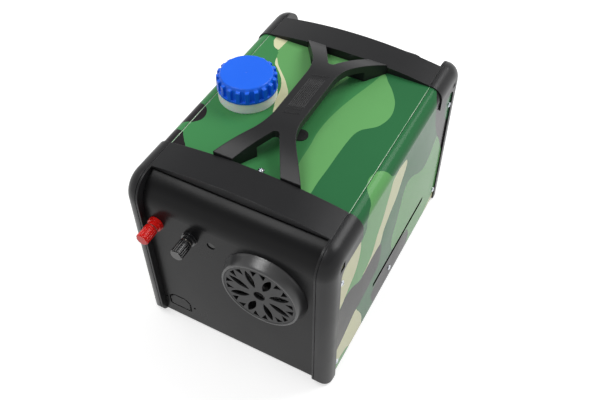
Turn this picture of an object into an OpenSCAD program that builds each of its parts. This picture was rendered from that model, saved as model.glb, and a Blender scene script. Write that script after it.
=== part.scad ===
/* [Case] */

// Overall width of case
case_w = 238; // [230:1:250]
// Overall depth between two rim faces
case_l = 346; // [300:1:380]
// Height of outer form above ground
form_top = 229; // [200:1:250]
// Height of lower edge of frames
form_low = 2; // [1:0.5:6]
// Radius of long upper edges
edge_r = 16; // [8:0.5:18]
// Radius of rim at upper corner in side view
corner_r = 28; // [20:0.5:40]
// Radius of rim at lower corner in side view
foot_corner_r = 13; // [8:0.5:20]
// Thickness of frame lip over panels
lip_t = 1.5; // [1:0.1:2.5]
// Depth of inner face of frame walls
wall_t = 3.5; // [3:0.1:5]
// How far the lip reaches past inner wall
lip_reach = 8; // [5:0.5:12]
// Gap between lip and panel
lip_gap = 0.3; // [0.2:0.05:0.6]
// Thickness of steel panels
sheet_t = 1.2; // [0.8:0.1:2]
// General clearance between fixed parts
part_gap = 0.3; // [0.2:0.05:0.6]
// Overrun of cutting shapes
over = 1; // [0.5:0.5:3]
// Rise of top bars at middle
crown_h = 9; // [6:0.5:12]
// Inner edge of top bars
bar_in_y = 104.5; // [98:0.5:112]
// Outer edge of top bars
bar_out_y = 142; // [135:0.5:148]
// Inner edge of side strips of frames
strip_in_y = 151; // [145:0.5:156]
// Lower edge of frame ears at sides
ear_z = 199; // [190:0.5:205]
// Rounding of inside corner of ears
ear_r = 13; // [8:0.5:20]
// Distance from seam to recess
recess_in = 3; // [1:0.5:13]
// Depth of strips beside plate
strip_d = 12; // [8:0.5:16]
// Width of seam groove
groove_w = 0.9; // [0.5:0.1:2]
// Depth of seam groove
groove_d = 1; // [0.5:0.1:2]
// Offset of plate faces
plate_y = 165.5; // [160:0.5:170]
// Thickness of end plates
plate_t = 1.5; // [1:0.1:2]
// Radius of rounded top of end plates
plate_r = 34; // [26:0.5:40]
// Top of end plates
plate_top = 226; // [220:0.5:228]
// Lower edge of end plates
plate_low = 4; // [3:0.5:8]
// Reach of plates under bars
plate_tuck = 4; // [2:0.5:8]
// Thickness of lower cross bars
low_bar_t = 3; // [2:0.5:5]
// Inner edge of lower cross bars
low_bar_y = 128; // [110:1:140]
// Width of ledges behind plates
ledge_w = 8; // [5:0.5:12]
// Thickness of ledges
ledge_t = 3; // [2:0.5:5]
// Lower end of ledges
ledge_low = 24; // [15:1:40]
// Upper end of ledges
ledge_high = 158; // [120:1:160]
// Half width of tongues under top panel
tongue_x = 16; // [10:0.5:25]
// Inner end of tongues
tongue_y = 84; // [78:0.5:90]
// Offset of tongue rib from the outer bar edge
rib_in = 9; // [8.6:0.1:14]
// Thickness of tongues
tongue_t = 3; // [2:0.5:5]
// Offset of side screws
side_screw_y = 146.2; // [140:0.1:150]
// Height of upper side screws
side_screw_high = 175; // [160:1:185]
// Height of lower side screws
side_screw_low = 24; // [18:1:40]
// Half height of screw tabs
tab_h = 11; // [8:0.5:16]
// Thickness of screw tabs
tab_t = 4; // [3:0.5:6]
// Reach of screw tabs into the rounded corner
tab_root = 7; // [5:0.5:8]
// Offset of top screws
top_screw_y = 94.5; // [88:0.5:100]

/* [Panels] */

// Height of slot in side panels
slot_z = 48.4; // [30:0.1:60]
// Width of slot
slot_w = 4.6; // [1.5:0.1:6]
// Front end of slot
slot_front = -51; // [-80:1:0]
// Rear end of slot
slot_rear = 100; // [80:1:125]
// Lower edge of side panels
panel_low = 5.3; // [4:0.1:8]
// Offset of filler from middle of tank
filler_off = 1.5; // [0:0.5:4]
// Offset of cable opening
grommet_x = 11; // [5:0.5:20]
// Depth position of cable opening
grommet_y = 31; // [20:0.5:40]
// Diameter of cable opening
grommet_hole_d = 11; // [8:0.5:16]
// Diameter of grommet rim
grommet_d = 17; // [12:0.5:18]
// Height of grommet rim
grommet_rim = 1; // [0.6:0.1:2]
// Thickness of grommet skin
grommet_skin = 0.8; // [0.5:0.1:1.5]

/* [Base] */

// Underside of base pan
pan_low = 5.3; // [4:0.1:8]
// Thickness of base pan
pan_t = 1.5; // [1:0.1:2]
// Height of base pan flanges
pan_flange = 34; // [20:1:45]
// Diameter of feet
foot_d = 22; // [16:1:30]
// Offset of feet across
foot_x = 84; // [60:1:95]
// Offset of feet in depth
foot_y = 143; // [134:1:150]

/* [Handle] */

// Half width of grip
grip_x = 16; // [12:0.5:20]
// Half length of straight grip
grip_y = 35; // [25:0.5:45]
// Radius of curve from grip to leg
waist_r = 60; // [40:1:90]
// Slope angle of leg edges in plan
leg_angle = 34.2; // [25:0.1:45]
// End of legs
leg_end_y = 103.6; // [100:0.1:104]
// Offset of crotch
crotch_y = 60; // [50:0.5:70]
// Rounding of crotch
crotch_r = 5; // [3:0.5:8]
// Half opening angle of crotch
crotch_angle = 29.5; // [20:0.5:40]
// Top of grip
grip_top = 254.5; // [245:0.5:262]
// Top of leg ends
leg_top = 239.4; // [236:0.1:245]
// Half length of level part of grip
level_y = 40; // [30:1:55]
// Thickness of handle
handle_t = 9; // [6:0.5:12]
// Inner end of foot blocks
block_y = 79; // [70:1:90]
// Offset of handle screws across
handle_screw_x = 37; // [30:0.5:45]
// Offset of handle screws in depth
handle_screw_y = 91; // [85:0.5:96]

/* [Screws] */

// Diameter of small screw heads
head_d = 7; // [5:0.1:9]
// Height of small screw heads
head_h = 2.2; // [1.5:0.1:3]
// Radius of domed heads
head_dome_r = 4.6; // [3.6:0.1:8]
// Diameter of screw shanks
shank_d = 3.4; // [2.5:0.1:4]
// Length of screw shanks
shank_l = 9; // [6:0.5:14]
// Diameter of clearance holes
shank_hole_d = 4.2; // [3.5:0.1:5]
// Width of cross recess
cross_w = 0.9; // [0.6:0.1:1.4]
// Length of cross recess
cross_l = 3.8; // [2.5:0.1:5]
// Depth of cross recess
cross_d = 1.2; // [0.6:0.1:1.6]

/* [Outlet] */

// Offset of heater axis
air_x = 41.8; // [35:0.1:50]
// Height of heater axis
air_z = 141.8; // [130:0.1:150]
// Radius of outlet face
outlet_face_r = 44.3; // [40:0.1:50]
// Radius of outlet at plate
outlet_base_r = 49; // [44:0.1:55]
// Protrusion of outlet
outlet_out = 13; // [8:0.5:25]
// Length of flared foot of outlet
outlet_flare = 6.5; // [3:0.5:10]
// Radius of outlet rim edge
outlet_edge = 2; // [1:0.1:4]
// Wall of outlet collar
outlet_wall = 2.6; // [2:0.1:4]
// Radius of opening in front plate
outlet_hole_r = 41.5; // [38:0.1:44]
// Depth of collar spigot behind plate
outlet_spigot = 9; // [5:0.5:14]
// Thickness of grilles
grille_t = 2.4; // [1.5:0.1:4]
// How far the grille lies behind rim
grille_sunk = 0.6; // [0:0.1:3]
// Number of petals of grille
petals = 8; // [6:1:12]
// Inner end of petals
petal_in = 12.2; // [10:0.1:16]
// Outer end of petals
petal_out = 37.6; // [32:0.1:39]
// Half width of petals
petal_half = 4; // [2:0.1:6]
// Radius of centre hole
grille_hole_r = 6.6; // [3:0.1:9]
// Inner point of rim cuts
wedge_in = 30.5; // [26:0.1:34]
// Outer edge of rim cuts
wedge_out = 39; // [36:0.1:41]
// Angle of rim cuts from a petal
wedge_from = 9.4; // [8:0.1:14]
// Turn of the inner corners of wedges
wedge_turn = 2; // [0:0.5:4]
// Far angle of rim cuts from a petal
wedge_to = 20.6; // [15:0.1:22]

/* [Intake] */

// Radius of intake collar
intake_r = 33.5; // [28:0.1:35]
// Protrusion of intake collar
intake_out = 8; // [4:0.5:14]
// Wall of intake collar
intake_wall = 2.6; // [2:0.1:4]
// Number of intake rings
intake_rings = 4; // [3:1:6]
// Width of an intake ring
intake_ring_w = 2; // [1.2:0.1:3]
// Width of intake spokes
intake_spoke_w = 2.4; // [1.5:0.1:4]
// Radius of intake hub
intake_hub_r = 6; // [4:0.5:9]

/* [Posts] */

// Offset of red post
red_x = 87; // [80:0.5:88]
// Offset of black post
black_x = 45; // [40:0.5:50]
// Height of posts and the plug
post_z = 172; // [160:0.5:185]
// Diameter of post flange
post_flange_d = 17.4; // [14:0.1:19]
// Thickness of post flange
post_flange_t = 4; // [2:0.1:6]
// Share of flange thickness in its rim
flange_rim_share = 0.55; // [0.3:0.05:0.7]
// Share of flange thickness in its body
flange_body_share = 0.75; // [0.6:0.05:0.9]
// Share of flange thickness under its crown
flange_low_share = 0.7; // [0.5:0.05:0.9]
// Share of flange thickness in its crown
flange_crown_share = 0.5; // [0.3:0.05:0.7]
// Diameter of post neck
post_neck_d = 13; // [10:0.1:16]
// Length of post neck
post_neck_l = 4; // [2:0.1:6]
// Diameter of metal stud
stud_d = 6; // [4:0.1:8]
// Length of stud in front of neck
stud_front = 15.4; // [10:0.1:20]
// Length of stud behind plate
stud_back = 17; // [12:0.5:20]
// Diameter of knob
knob_d = 14.4; // [12:0.1:16]
// Length of knob
knob_l = 17; // [12:0.1:22]
// Number of flutes on the knob
knob_flutes = 20; // [12:1:30]
// Radius of flutes
flute_r = 0.9; // [0.5:0.05:1.5]
// Radial clearance of turning and sliding parts
run_gap = 0.06; // [0.02:0.01:0.1]
// Thickness of pressure washer
washer_t = 1.6; // [1:0.1:3]
// Diameter of pressure washer
washer_d = 11.6; // [9:0.1:13]
// Thickness of insulating collar inside
insul_t = 3; // [2:0.1:5]
// Width across the nut flats divided by two in corner measure
nut_r = 6.4; // [5:0.1:8]
// Thickness of nuts
nut_t = 4; // [3:0.1:6]
// Offset of plug
jack_x = 20.5; // [15:0.5:28]
// Diameter of plug opening
jack_hole_d = 9.4; // [7:0.1:12]
// Diameter of plug barrel
jack_d = 8.8; // [6:0.1:11]
// Length of plug barrel
jack_l = 12; // [6:0.5:18]

/* [Inlet blank] */

// Offset of blank
blank_x = 77.4; // [70:0.1:78]
// Height of blank
blank_z = 31; // [25:0.5:40]
// Width of blank
blank_w = 28; // [26:0.1:30]
// Height of blank outline
blank_h = 20.4; // [18:0.1:24]
// Clipped corners of blank
blank_clip = 6; // [3:0.1:8]
// Small corners of blank
blank_small = 2.6; // [1:0.1:4]
// Width of cut line
blank_cut = 0.9; // [0.5:0.1:1.5]
// Width of bridges
blank_bridge = 2.4; // [1:0.1:4]
// Spacing of two screw holes
blank_hole_gap = 40; // [38:0.1:42]
// Diameter of two screw holes
blank_hole_d = 3.2; // [2.5:0.1:3.4]

/* [Fuel cap] */

// Outer radius of filler neck
neck_r = 29.4; // [28:0.1:31]
// Inner radius of filler neck
neck_in_r = 25; // [20:0.1:28]
// Top of filler neck
neck_top = 247; // [244:0.5:250]
// Radius of neck shoulder
shoulder_r = 32.8; // [31:0.1:33]
// Top of neck shoulder
shoulder_top = 239.6; // [234:0.1:244]
// Lower edge of cap
cap_low = 240.2; // [235:0.1:246]
// Top of cap
cap_top = 258.4; // [252:0.1:264]
// Radius of cap at its lower edge
cap_low_r = 34; // [32.5:0.1:36]
// Radius of cap at its top
cap_top_r = 29; // [27:0.1:33]
// Radius at the top of the ribs
cap_tooth_r = 32; // [30:0.1:33.4]
// Step from rim to ribs of cap
cap_step = 0.6; // [0.2:0.1:1.5]
// Height of lower rim of cap
cap_rim_h = 3; // [1:0.1:5]
// Number of cap ribs
cap_ribs = 20; // [14:1:32]
// Width of gaps between ribs
cap_gap_w = 5; // [2:0.1:7]
// Depth of gaps between ribs
cap_gap_d = 4; // [2:0.1:4.6]
// Thickness of cap seal
seal_t = 2.2; // [1:0.1:4]

/* [Tank] */

// Clearance between side sheet and tank
tank_gap = 10.5; // [8:0.5:14]
// Width of tank
tank_w = 72; // [60:1:72]
// Depth of tank
tank_l = 262; // [200:1:280]
// Underside of tank
tank_low = 9; // [8:0.5:14]
// Top of tank
tank_top = 214; // [190:0.5:215]
// Rounding of tank edges
tank_r = 12; // [6:0.5:20]
// Wall of tank
tank_wall = 3; // [2:0.1:5]
// Width of tank straps
strap_w = 20; // [12:0.5:30]
// Thickness of tank straps
strap_t = 1.2; // [0.8:0.1:2]
// Offset of straps
strap_y = 84; // [60:1:110]
// Distance from rear end of tank to standpipe
stand_in = 23; // [16:1:40]
// Radius of standpipe
stand_r = 3; // [2:0.1:5]
// Radius of standpipe flange
stand_flange_r = 9; // [6:0.1:12]

/* [Fuel system] */

// Offset of pump
pump_x = 40; // [34:0.5:46]
// Depth position of pump
pump_y = -75; // [-90:0.5:-60]
// Height of pump axis
pump_z = 46; // [35:0.5:60]
// Radius of pump body
pump_r = 14; // [11:0.1:18]
// Length of pump body
pump_l = 56; // [40:0.5:70]
// Radius of pump nozzles
pump_nozzle_r = 3; // [2:0.1:5]
// Length of pump nozzles
pump_nozzle_l = 15; // [8:0.5:20]
// Radius of pump plunger
plunger_r = 4.4; // [3:0.1:6]
// Length of pump plunger
plunger_l = 22; // [12:0.5:30]
// Length of pump cavity
pump_cavity = 30; // [20:0.5:40]
// Radius of rubber pump mount
mount_r = 18; // [15:0.1:22]
// Width of rubber pump mount
mount_w = 20; // [12:0.5:30]
// Share of mount radius in its foot
mount_foot_share = 0.6; // [0.4:0.05:0.9]
// Offset of filter
filter_x = -19; // [-22:0.5:-16]
// Radius of filter bowl
filter_r = 9; // [7:0.1:10]
// Length of filter bowl
filter_l = 34; // [20:0.5:45]
// Radius of fuel line
line_r = 3; // [2:0.1:4]
// Bend radius of fuel lines
bend_r = 14; // [8:0.5:20]

/* [Heater] */

// Half width of heater shell
shell_half = 54; // [48:0.5:58]
// Wall of heater shell
shell_wall = 2.5; // [2:0.1:4]
// Rounding of heater shell
shell_r = 22; // [10:0.5:30]
// Front end of heater shell
shell_front = -144; // [-150:0.5:-130]
// Rear end of heater shell
shell_rear = 136; // [120:0.5:145]
// Radius of shell openings at both ends
shell_hole_r = 38; // [34:0.5:42]
// Front end of heat exchanger
core_front = -124; // [-130:0.5:-110]
// Rear end of heat exchanger
core_rear = 4; // [-10:0.5:15]
// Radius of heat exchanger body
core_r = 34; // [28:0.5:38]
// Radius over fins
fin_r = 46; // [40:0.5:50]
// Number of fins
fins = 30; // [16:1:40]
// Thickness of fins
fin_t = 2; // [1.2:0.1:3]
// Wall of heat exchanger
core_wall = 3; // [2:0.1:5]
// Radius of combustion tube
tube_r = 23; // [18:0.5:27]
// Wall of combustion tube
tube_wall = 1.5; // [1:0.1:3]
// Front end of combustion tube
tube_front = -84; // [-100:0.5:-60]
// Radius of burner flange
burner_r = 33; // [28:0.5:36]
// Thickness of burner flange
burner_t = 5; // [3:0.5:8]
// Radius of glow plug
glow_r = 4; // [3:0.1:6]
// Length of glow plug
glow_l = 40; // [25:0.5:50]
// Radius of motor
motor_r = 24; // [18:0.5:30]
// Front end of motor
motor_front = 34; // [25:0.5:50]
// Rear end of motor
motor_rear = 78; // [60:0.5:90]
// Radius of motor shaft
shaft_r = 2.5; // [2:0.1:4]
// Rear end of motor shaft
shaft_rear = 116; // [100:0.5:125]
// Front end of motor shaft
shaft_front = 13; // [10:0.5:20]
// Radius of blower fan
fan_r = 42; // [34:0.5:46]
// Inner radius of blower blades
fan_in_r = 26; // [18:0.5:32]
// Front end of blower fan
fan_front = 86; // [80:0.5:100]
// Depth of blower fan
fan_l = 24; // [14:0.5:30]
// Number of blower blades
fan_blades = 24; // [12:1:36]
// Thickness of fan plates
fan_plate = 2; // [1:0.1:3]
// Radius of blade curve
blade_r = 14; // [8:0.5:20]
// Thickness of blades
blade_t = 1.4; // [0.8:0.1:2]
// Radius of fan hub
hub_r = 7; // [5:0.5:10]
// Radius of combustion fan
small_fan_r = 24; // [18:0.5:28]
// Number of combustion fan blades
small_blades = 14; // [8:1:20]
// Depth of combustion fan
small_fan_l = 9; // [5:0.5:12]
// Half width of control board
board_half = 26; // [18:0.5:34]
// Length of control board
board_l = 46; // [30:1:48]
// Thickness of control board
board_t = 1.6; // [1:0.1:2]
// Side of relays and chips on the board
chip_w = 15; // [8:0.5:20]
// Height of chips
chip_h = 7; // [2:0.5:9]
// Height of base bracket
bracket_h = 9; // [5:0.5:15]
// Thickness of heater gasket
gasket_t = 2; // [1:0.1:3]
// Half width of gasket and bracket
bracket_half = 54; // [52:0.5:58]
// Front end of bracket
bracket_front = -66; // [-100:1:-40]
// Rear end of bracket
bracket_rear = 38; // [30:1:44]
// Radius of exhaust pipe
exhaust_r = 12; // [10:0.1:15]
// Wall of pipes
pipe_wall = 1.5; // [1:0.1:2]
// Depth position of exhaust drop
exhaust_y = -34; // [-40:1:-30]
// Offset of exhaust
exhaust_x = 58; // [56:0.5:64]
// Radius of combustion air pipe
breath_r = 10; // [8:0.1:13]
// Offset of combustion air pipe
breath_x = 24; // [20:0.5:26]
// Depth position of combustion air drop
breath_y = 22; // [16:0.5:23]
// Height of pipe ends
pipe_z = 46; // [38:0.5:60]
// Radius of pipe bends
pipe_bend = 22; // [15:0.5:30]
// How far the pipe ends stand out of rear plate
pipe_out = 14; // [8:0.5:24]

/* [Console] */

// Offset of console
console_x = 29; // [15:0.5:45]
// Width of console
console_w = 78; // [60:0.5:90]
// Height of sloped face
console_h = 46; // [36:0.5:56]
// Tilt of sloped face
console_tilt = 35; // [20:1:50]
// Depth position of face centre
console_y = 177; // [170:0.5:185]
// Height of face centre
console_z = 199; // [190:0.5:205]
// Rounding of console corners
console_r = 8; // [4:0.5:12]
// Depth of console housing behind its face
console_d = 40; // [20:0.5:50]
// Underside of console
console_low = 177.5; // [176:0.1:180]
// Width of display window
lens_w = 44; // [30:0.5:60]
// Height of display window
lens_h = 20; // [12:0.5:30]
// Depth of display window
lens_t = 1.6; // [1:0.1:3]
// Offset of display window
lens_up = 8; // [4:0.5:12]
// Diameter of buttons
button_d = 9; // [6:0.1:12]
// Spacing of buttons
button_gap = 15; // [11:0.5:18]
// Offset of buttons
button_down = 12; // [8:0.5:16]
// How far a button stands out
button_out = 1.6; // [0.8:0.1:3]
// Length of a button
button_l = 5; // [3:0.1:8]
// Travel of a button
button_travel = 1; // [0.4:0.1:2]

/* [Colours] */

// Colour of black mouldings
black_c = "#3c3c3f";
// Colour of powder coated plates
plate_c = "#454548";
// Colour of camouflage panels
green_c = "#4b8f54";
// Colour of cap
blue_c = "#1469f0";
// Colour of red post
red_c = "#f01e14";
// Colour of tank
white_c = "#e8e8e2";
// Colour of bright metal
metal_c = "#b8bcc0";
// Colour of rubber
rubber_c = "#1c1c1e";
// Colour of cast aluminium
alloy_c = "#9da2a6";
// Colour of board
board_c = "#1f6b3a";

/* [Hidden] */

half_w = case_w / 2;
half_l = case_l / 2;
big = case_l + case_w;
$fn = 96;
sheet_in = lip_t + lip_gap;
seam_x = half_w - edge_r;
recess_x = seam_x - recess_in;
tank_x = half_w - sheet_in - sheet_t - tank_gap - tank_w / 2;
filler_x = tank_x + filler_off;
stand_y = tank_l / 2 - stand_in;
sheet_back = sheet_in + sheet_t;
crown_r = (seam_x * seam_x + crown_h * crown_h) / (2 * crown_h);
crown_z = form_top + crown_h - crown_r;
tuck_y = bar_in_y + lip_reach;
strip_tuck_y = strip_in_y + lip_reach;
plate_cy = plate_y - plate_r;
plate_cz = plate_top - plate_r;
tangent_x = grip_x + waist_r * (1 - cos(leg_angle));
tangent_y = grip_y + waist_r * sin(leg_angle);
leg_l = (leg_end_y + over - tangent_y) / cos(leg_angle);
arch_run = leg_end_y - level_y;
arch_drop = grip_top - leg_top;
arch_r = (arch_run * arch_run + arch_drop * arch_drop) / (2 * arch_drop);
crotch_l = 2 * (leg_end_y - crotch_y);
plate_back = plate_y - plate_t;
board_z = air_z + burner_r + part_gap;

// Round rod from a place towards the front
module rod(at, h, r) {
  translate(at)
    rotate([90, 0, 0])
      cylinder(h = h, r = r);
}

// Upright round piece
module disc(at, h, r) {
  translate(at)
    cylinder(h = h, r = r);
}

// Rectangular piece from its low corner
module block(at, size) {
  translate(at)
    cube(size);
}

// What is drawn for the right side, on both sides
module both() {
  children();
  mirror([1, 0, 0])
    children();
}

// Side view outline of one end, mirrored for the other, drawn inset by t
module end_profile(t, back) {
  translate([back, form_low + t])
    square([half_l - corner_r - back, form_top - form_low - 2 * t]);
  translate([half_l - corner_r - over, form_low + foot_corner_r])
    square([corner_r + over - t, form_top - corner_r - form_low - foot_corner_r]);
  translate([half_l - corner_r, form_top - corner_r])
    circle(r = corner_r - t);
  translate([half_l - foot_corner_r, form_low + foot_corner_r])
    circle(r = foot_corner_r - t);
  translate([half_l - corner_r - over, form_low + t])
    square([corner_r + over - foot_corner_r, foot_corner_r]);
}

// Turns a drawing in depth and height into a slab across the width, for the front end
module across(x0, x1) {
  translate([x0, 0, 0])
    rotate([90, 0, 90])
      linear_extrude(height = x1 - x0)
        mirror([1, 0])
          children();
}

// One rounded cheek from the seam outwards
module cheek_form(t, back) {
  r = edge_r - t;
  ring = corner_r - edge_r;
  intersection() {
    union() {
      disc([seam_x, -(half_l - edge_r), form_low], form_top - corner_r - form_low, r);
      rod([seam_x, -back, form_top - edge_r], half_l - corner_r - back, r);
      translate([seam_x, -(half_l - corner_r), form_top - corner_r])
        rotate([0, 90, 0])
          rotate([0, 0, 180])
            rotate_extrude(angle = 360)
              intersection() {
                translate([ring, 0])
                  circle(r = r);
                square([big, big]);
              }
      translate([seam_x, -(half_l - corner_r), form_top - corner_r])
        rotate([0, 90, 0])
          cylinder(h = r, r = ring);
      block([seam_x, -(half_l - edge_r), form_low], [r, half_l - edge_r - back, form_top - corner_r - form_low]);
      block([seam_x, -(half_l - corner_r), form_low], [r, half_l - corner_r - back, form_top - edge_r - form_low]);
    }
    across(seam_x, half_w + over)
      end_profile(t, back);
  }
}

// Side view area that the frame covers, set back by d from its visible edge
module frame_area(d) {
  difference() {
    translate([bar_in_y + d, -over])
      square([big, big]);
    translate([bar_in_y + d - over, -2 * over])
      square([strip_in_y - bar_in_y - ear_r + over, ear_z + d + 2 * over]);
    translate([bar_in_y + d - over, -2 * over])
      square([strip_in_y - bar_in_y + over, ear_z + d - ear_r + 2 * over]);
    translate([strip_in_y + d - ear_r, ear_z + d - ear_r])
      circle(r = ear_r);
  }
}

// Front end frame, drawn once and turned for the rear
module end_frame() {
  color(black_c)
    difference() {
      union() {
        // lip over the side panels
        both()
          intersection() {
            difference() {
              cheek_form(0, 0);
              cheek_form(lip_t, 0);
              block([seam_x - over, -half_l + wall_t, form_low + wall_t], [2 * over, half_l, form_top - form_low - wall_t - lip_t]);
            }
            across(seam_x, half_w + over)
              frame_area(0);
          }
        // inner wall of the cheeks
        both()
          intersection() {
            difference() {
              cheek_form(0, 0);
              cheek_form(wall_t, 0);
            }
            across(seam_x, half_w + over)
              frame_area(lip_reach);
          }
        // strips beside the plate
        both()
          intersection() {
            difference() {
              across(recess_x, seam_x)
                end_profile(0, 0);
              across(recess_x - over, seam_x + over)
                end_profile(strip_d, 0);
            }
            across(recess_x, seam_x)
              frame_area(lip_reach);
          }
        crowned_bar();
        // ledges for the plate
        both()
          block([recess_x - ledge_w, -plate_back, ledge_low], [ledge_w + over, ledge_t, ledge_high - ledge_low]);
        // lower cross bar
        block([-seam_x - over, -plate_back, form_low], [2 * (seam_x + over), plate_back - low_bar_y, low_bar_t]);
        both()
          block([recess_x, -plate_back, form_low], [half_w - edge_r - recess_x + edge_r - wall_t, plate_back - strip_tuck_y, low_bar_t]);
        // tongue under the top panel, held by a rib in the bar
        block([-tongue_x, -bar_out_y + rib_in, form_top - sheet_back - tongue_t], [2 * tongue_x, bar_out_y - rib_in - tongue_y, tongue_t]);
        block([-tongue_x, -bar_out_y + rib_in, form_top - sheet_back - tongue_t], [2 * tongue_x, wall_t, crown_h + sheet_back + tongue_t - wall_t / 2]);
        // tabs for the side screws
        both()
          for (z = [side_screw_low, side_screw_high])
            block([half_w - sheet_back - tab_t, -half_l + edge_r - tab_root, z - tab_h],
                [tab_t, half_l - edge_r + tab_root - side_screw_y + tab_h, 2 * tab_h]);
      }
      // seam grooves
      both()
        intersection() {
          difference() {
            across(seam_x - groove_w, seam_x)
              end_profile(-over, 0);
            across(seam_x - groove_w - over, seam_x + over)
              end_profile(groove_d, 0);
          }
          across(recess_x, seam_x + over)
            frame_area(0);
        }
      // screw holes
      for (side = [-1, 1])
        for (z = [side_screw_low, side_screw_high])
          translate([side * half_w, -side_screw_y, z])
            rotate([0, -side * 90, 0])
              cylinder(h = wall_t + tab_t + over, r = shank_d / 2 + run_gap);
      disc([0, -top_screw_y, form_top - sheet_back - tongue_t - over], tongue_t + 2 * over, shank_d / 2 + run_gap);
    }
}

// Arched top bar with a hollow underside
module crowned_bar() {
  difference() {
    intersection() {
      rod([0, -bar_in_y, crown_z], bar_out_y - bar_in_y, crown_r);
      block([-seam_x, -bar_out_y, form_top - wall_t], [2 * seam_x, bar_out_y - bar_in_y, crown_h + wall_t + over]);
    }
    // hollow
    intersection() {
      rod([0, -bar_in_y - wall_t, crown_z], bar_out_y - bar_in_y - 2 * wall_t, crown_r - wall_t);
      block([-recess_x, -bar_out_y + wall_t, form_top - wall_t - over], [2 * recess_x, bar_out_y - bar_in_y - 2 * wall_t, crown_h + wall_t + over]);
    }
    // room for the top panel
    block([-seam_x - over, -tuck_y, form_top - wall_t - over], [2 * (seam_x + over), tuck_y, wall_t + over - lip_t]);
    // room for the plate
    block([-recess_x, -bar_out_y - over, form_top - wall_t - over], [2 * recess_x, wall_t + over + plate_tuck, wall_t + over - lip_t]);
  }
}

module front_frame() {
  end_frame();
}

module rear_frame() {
  rotate([0, 0, 180])
    end_frame();
}

// Curved sheet of an end plate, from the bar down to its lower edge
module plate_sheet() {
  across(-recess_x + part_gap, recess_x - part_gap) {
    translate([plate_back, plate_low])
      square([plate_t, plate_cz - plate_low]);
    intersection() {
      difference() {
        translate([plate_cy, plate_cz])
          circle(r = plate_r);
        translate([plate_cy, plate_cz])
          circle(r = plate_r - plate_t);
      }
      translate([bar_out_y - plate_tuck, plate_cz])
        square([big, big]);
    }
  }
}

// Outline of the blank for a mains inlet
module blank_outline(grow) {
  w = blank_w / 2 + grow;
  h = blank_h / 2 + grow;
  c = blank_clip + grow / 2;
  s = blank_small + grow / 2;
  polygon([[-w, -h + s], [-w + s, -h], [w - s, -h], [w, -h + s],
      [w, h - c], [w - c, h], [-w + c, h], [-w, h - c]]);
}

module front_plate() {
  color(plate_c)
    difference() {
      plate_sheet();
      rod([air_x, -plate_back + over, air_z], plate_t + 2 * over, outlet_hole_r);
      for (x = [-red_x, -black_x])
        rod([x, -plate_back + over, post_z], plate_t + 2 * over, post_neck_d / 2 - over);
      rod([-jack_x, -plate_back + over, post_z], plate_t + 2 * over, jack_hole_d / 2);
      for (x = [-1, 1])
        rod([x * blank_hole_gap / 2 - blank_x, -plate_back + over, blank_z], plate_t + 2 * over, blank_hole_d / 2);
      translate([-blank_x, -plate_back + over, blank_z])
        rotate([90, 0, 0])
          linear_extrude(height = plate_t + 2 * over)
            difference() {
              blank_outline(0);
              blank_outline(-blank_cut);
              translate([-blank_w, -blank_bridge / 2])
                square([2 * blank_w, blank_bridge]);
              for (x = [-1, 1])
                translate([x * blank_w / 5 - blank_bridge / 2, -blank_h])
                  square([blank_bridge, 2 * blank_h]);
            }
    }
}

module rear_plate() {
  color(plate_c)
    difference() {
      rotate([0, 0, 180])
        plate_sheet();
      rod([air_x, plate_y + over, air_z], plate_t + 2 * over, intake_r - intake_wall);
      rod([exhaust_x, plate_y + over, pipe_z], plate_t + 2 * over, exhaust_r + over);
      rod([breath_x, plate_y + over, pipe_z], plate_t + 2 * over, breath_r + over);
    }
}

module top_panel() {
  color(green_c)
    difference() {
      block([-seam_x + part_gap, -tuck_y + part_gap, form_top - sheet_back], [2 * (seam_x - part_gap), 2 * (tuck_y - part_gap), sheet_t]);
      disc([-filler_x, 0, form_top - sheet_back - over], sheet_t + 2 * over, neck_r + part_gap);
      disc([grommet_x, -grommet_y, form_top - sheet_back - over], sheet_t + 2 * over, grommet_hole_d / 2);
      for (s = [-1, 1])
        disc([0, s * top_screw_y, form_top - sheet_back - over], sheet_t + 2 * over, shank_hole_d / 2);
      for (sx = [-1, 1], sy = [-1, 1])
        disc([sx * handle_screw_x, sy * handle_screw_y, form_top - sheet_back - over], sheet_t + 2 * over, shank_hole_d / 2);
    }
}

// Cross-section of a side panel, drawn for the right side
module side_section() {
  r0 = edge_r - sheet_in;
  r1 = edge_r - sheet_back;
  intersection() {
    difference() {
      translate([seam_x, form_top - edge_r])
        circle(r = r0);
      translate([seam_x, form_top - edge_r])
        circle(r = r1);
    }
    translate([seam_x + part_gap, form_top - edge_r])
      square([big, big]);
  }
  translate([half_w - sheet_back, panel_low])
    square([sheet_t, form_top - edge_r - panel_low]);
}

module side_panel() {
  color(green_c)
    difference() {
      translate([0, strip_tuck_y - part_gap, 0])
        rotate([90, 0, 0])
          linear_extrude(height = 2 * (strip_tuck_y - part_gap))
            side_section();
      for (s = [0, 1])
        mirror([0, s, 0])
          translate([seam_x - over, 0, 0])
            across(0, half_w)
              frame_area(lip_reach - part_gap);
      block([half_w - sheet_back - over, slot_front, slot_z], [sheet_t + 2 * over, slot_rear - slot_front, slot_w]);
      for (s = [-1, 1], z = [side_screw_low, side_screw_high])
        translate([half_w, s * side_screw_y, z])
          rotate([0, -90, 0])
            cylinder(h = sheet_back + over, r = shank_hole_d / 2);
      translate([half_w, 0, side_screw_low])
        rotate([0, -90, 0])
          cylinder(h = sheet_back + over, r = shank_hole_d / 2);
    }
}

module right_side_panel() {
  side_panel();
}

module left_side_panel() {
  mirror([1, 0, 0])
    side_panel();
}

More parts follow.
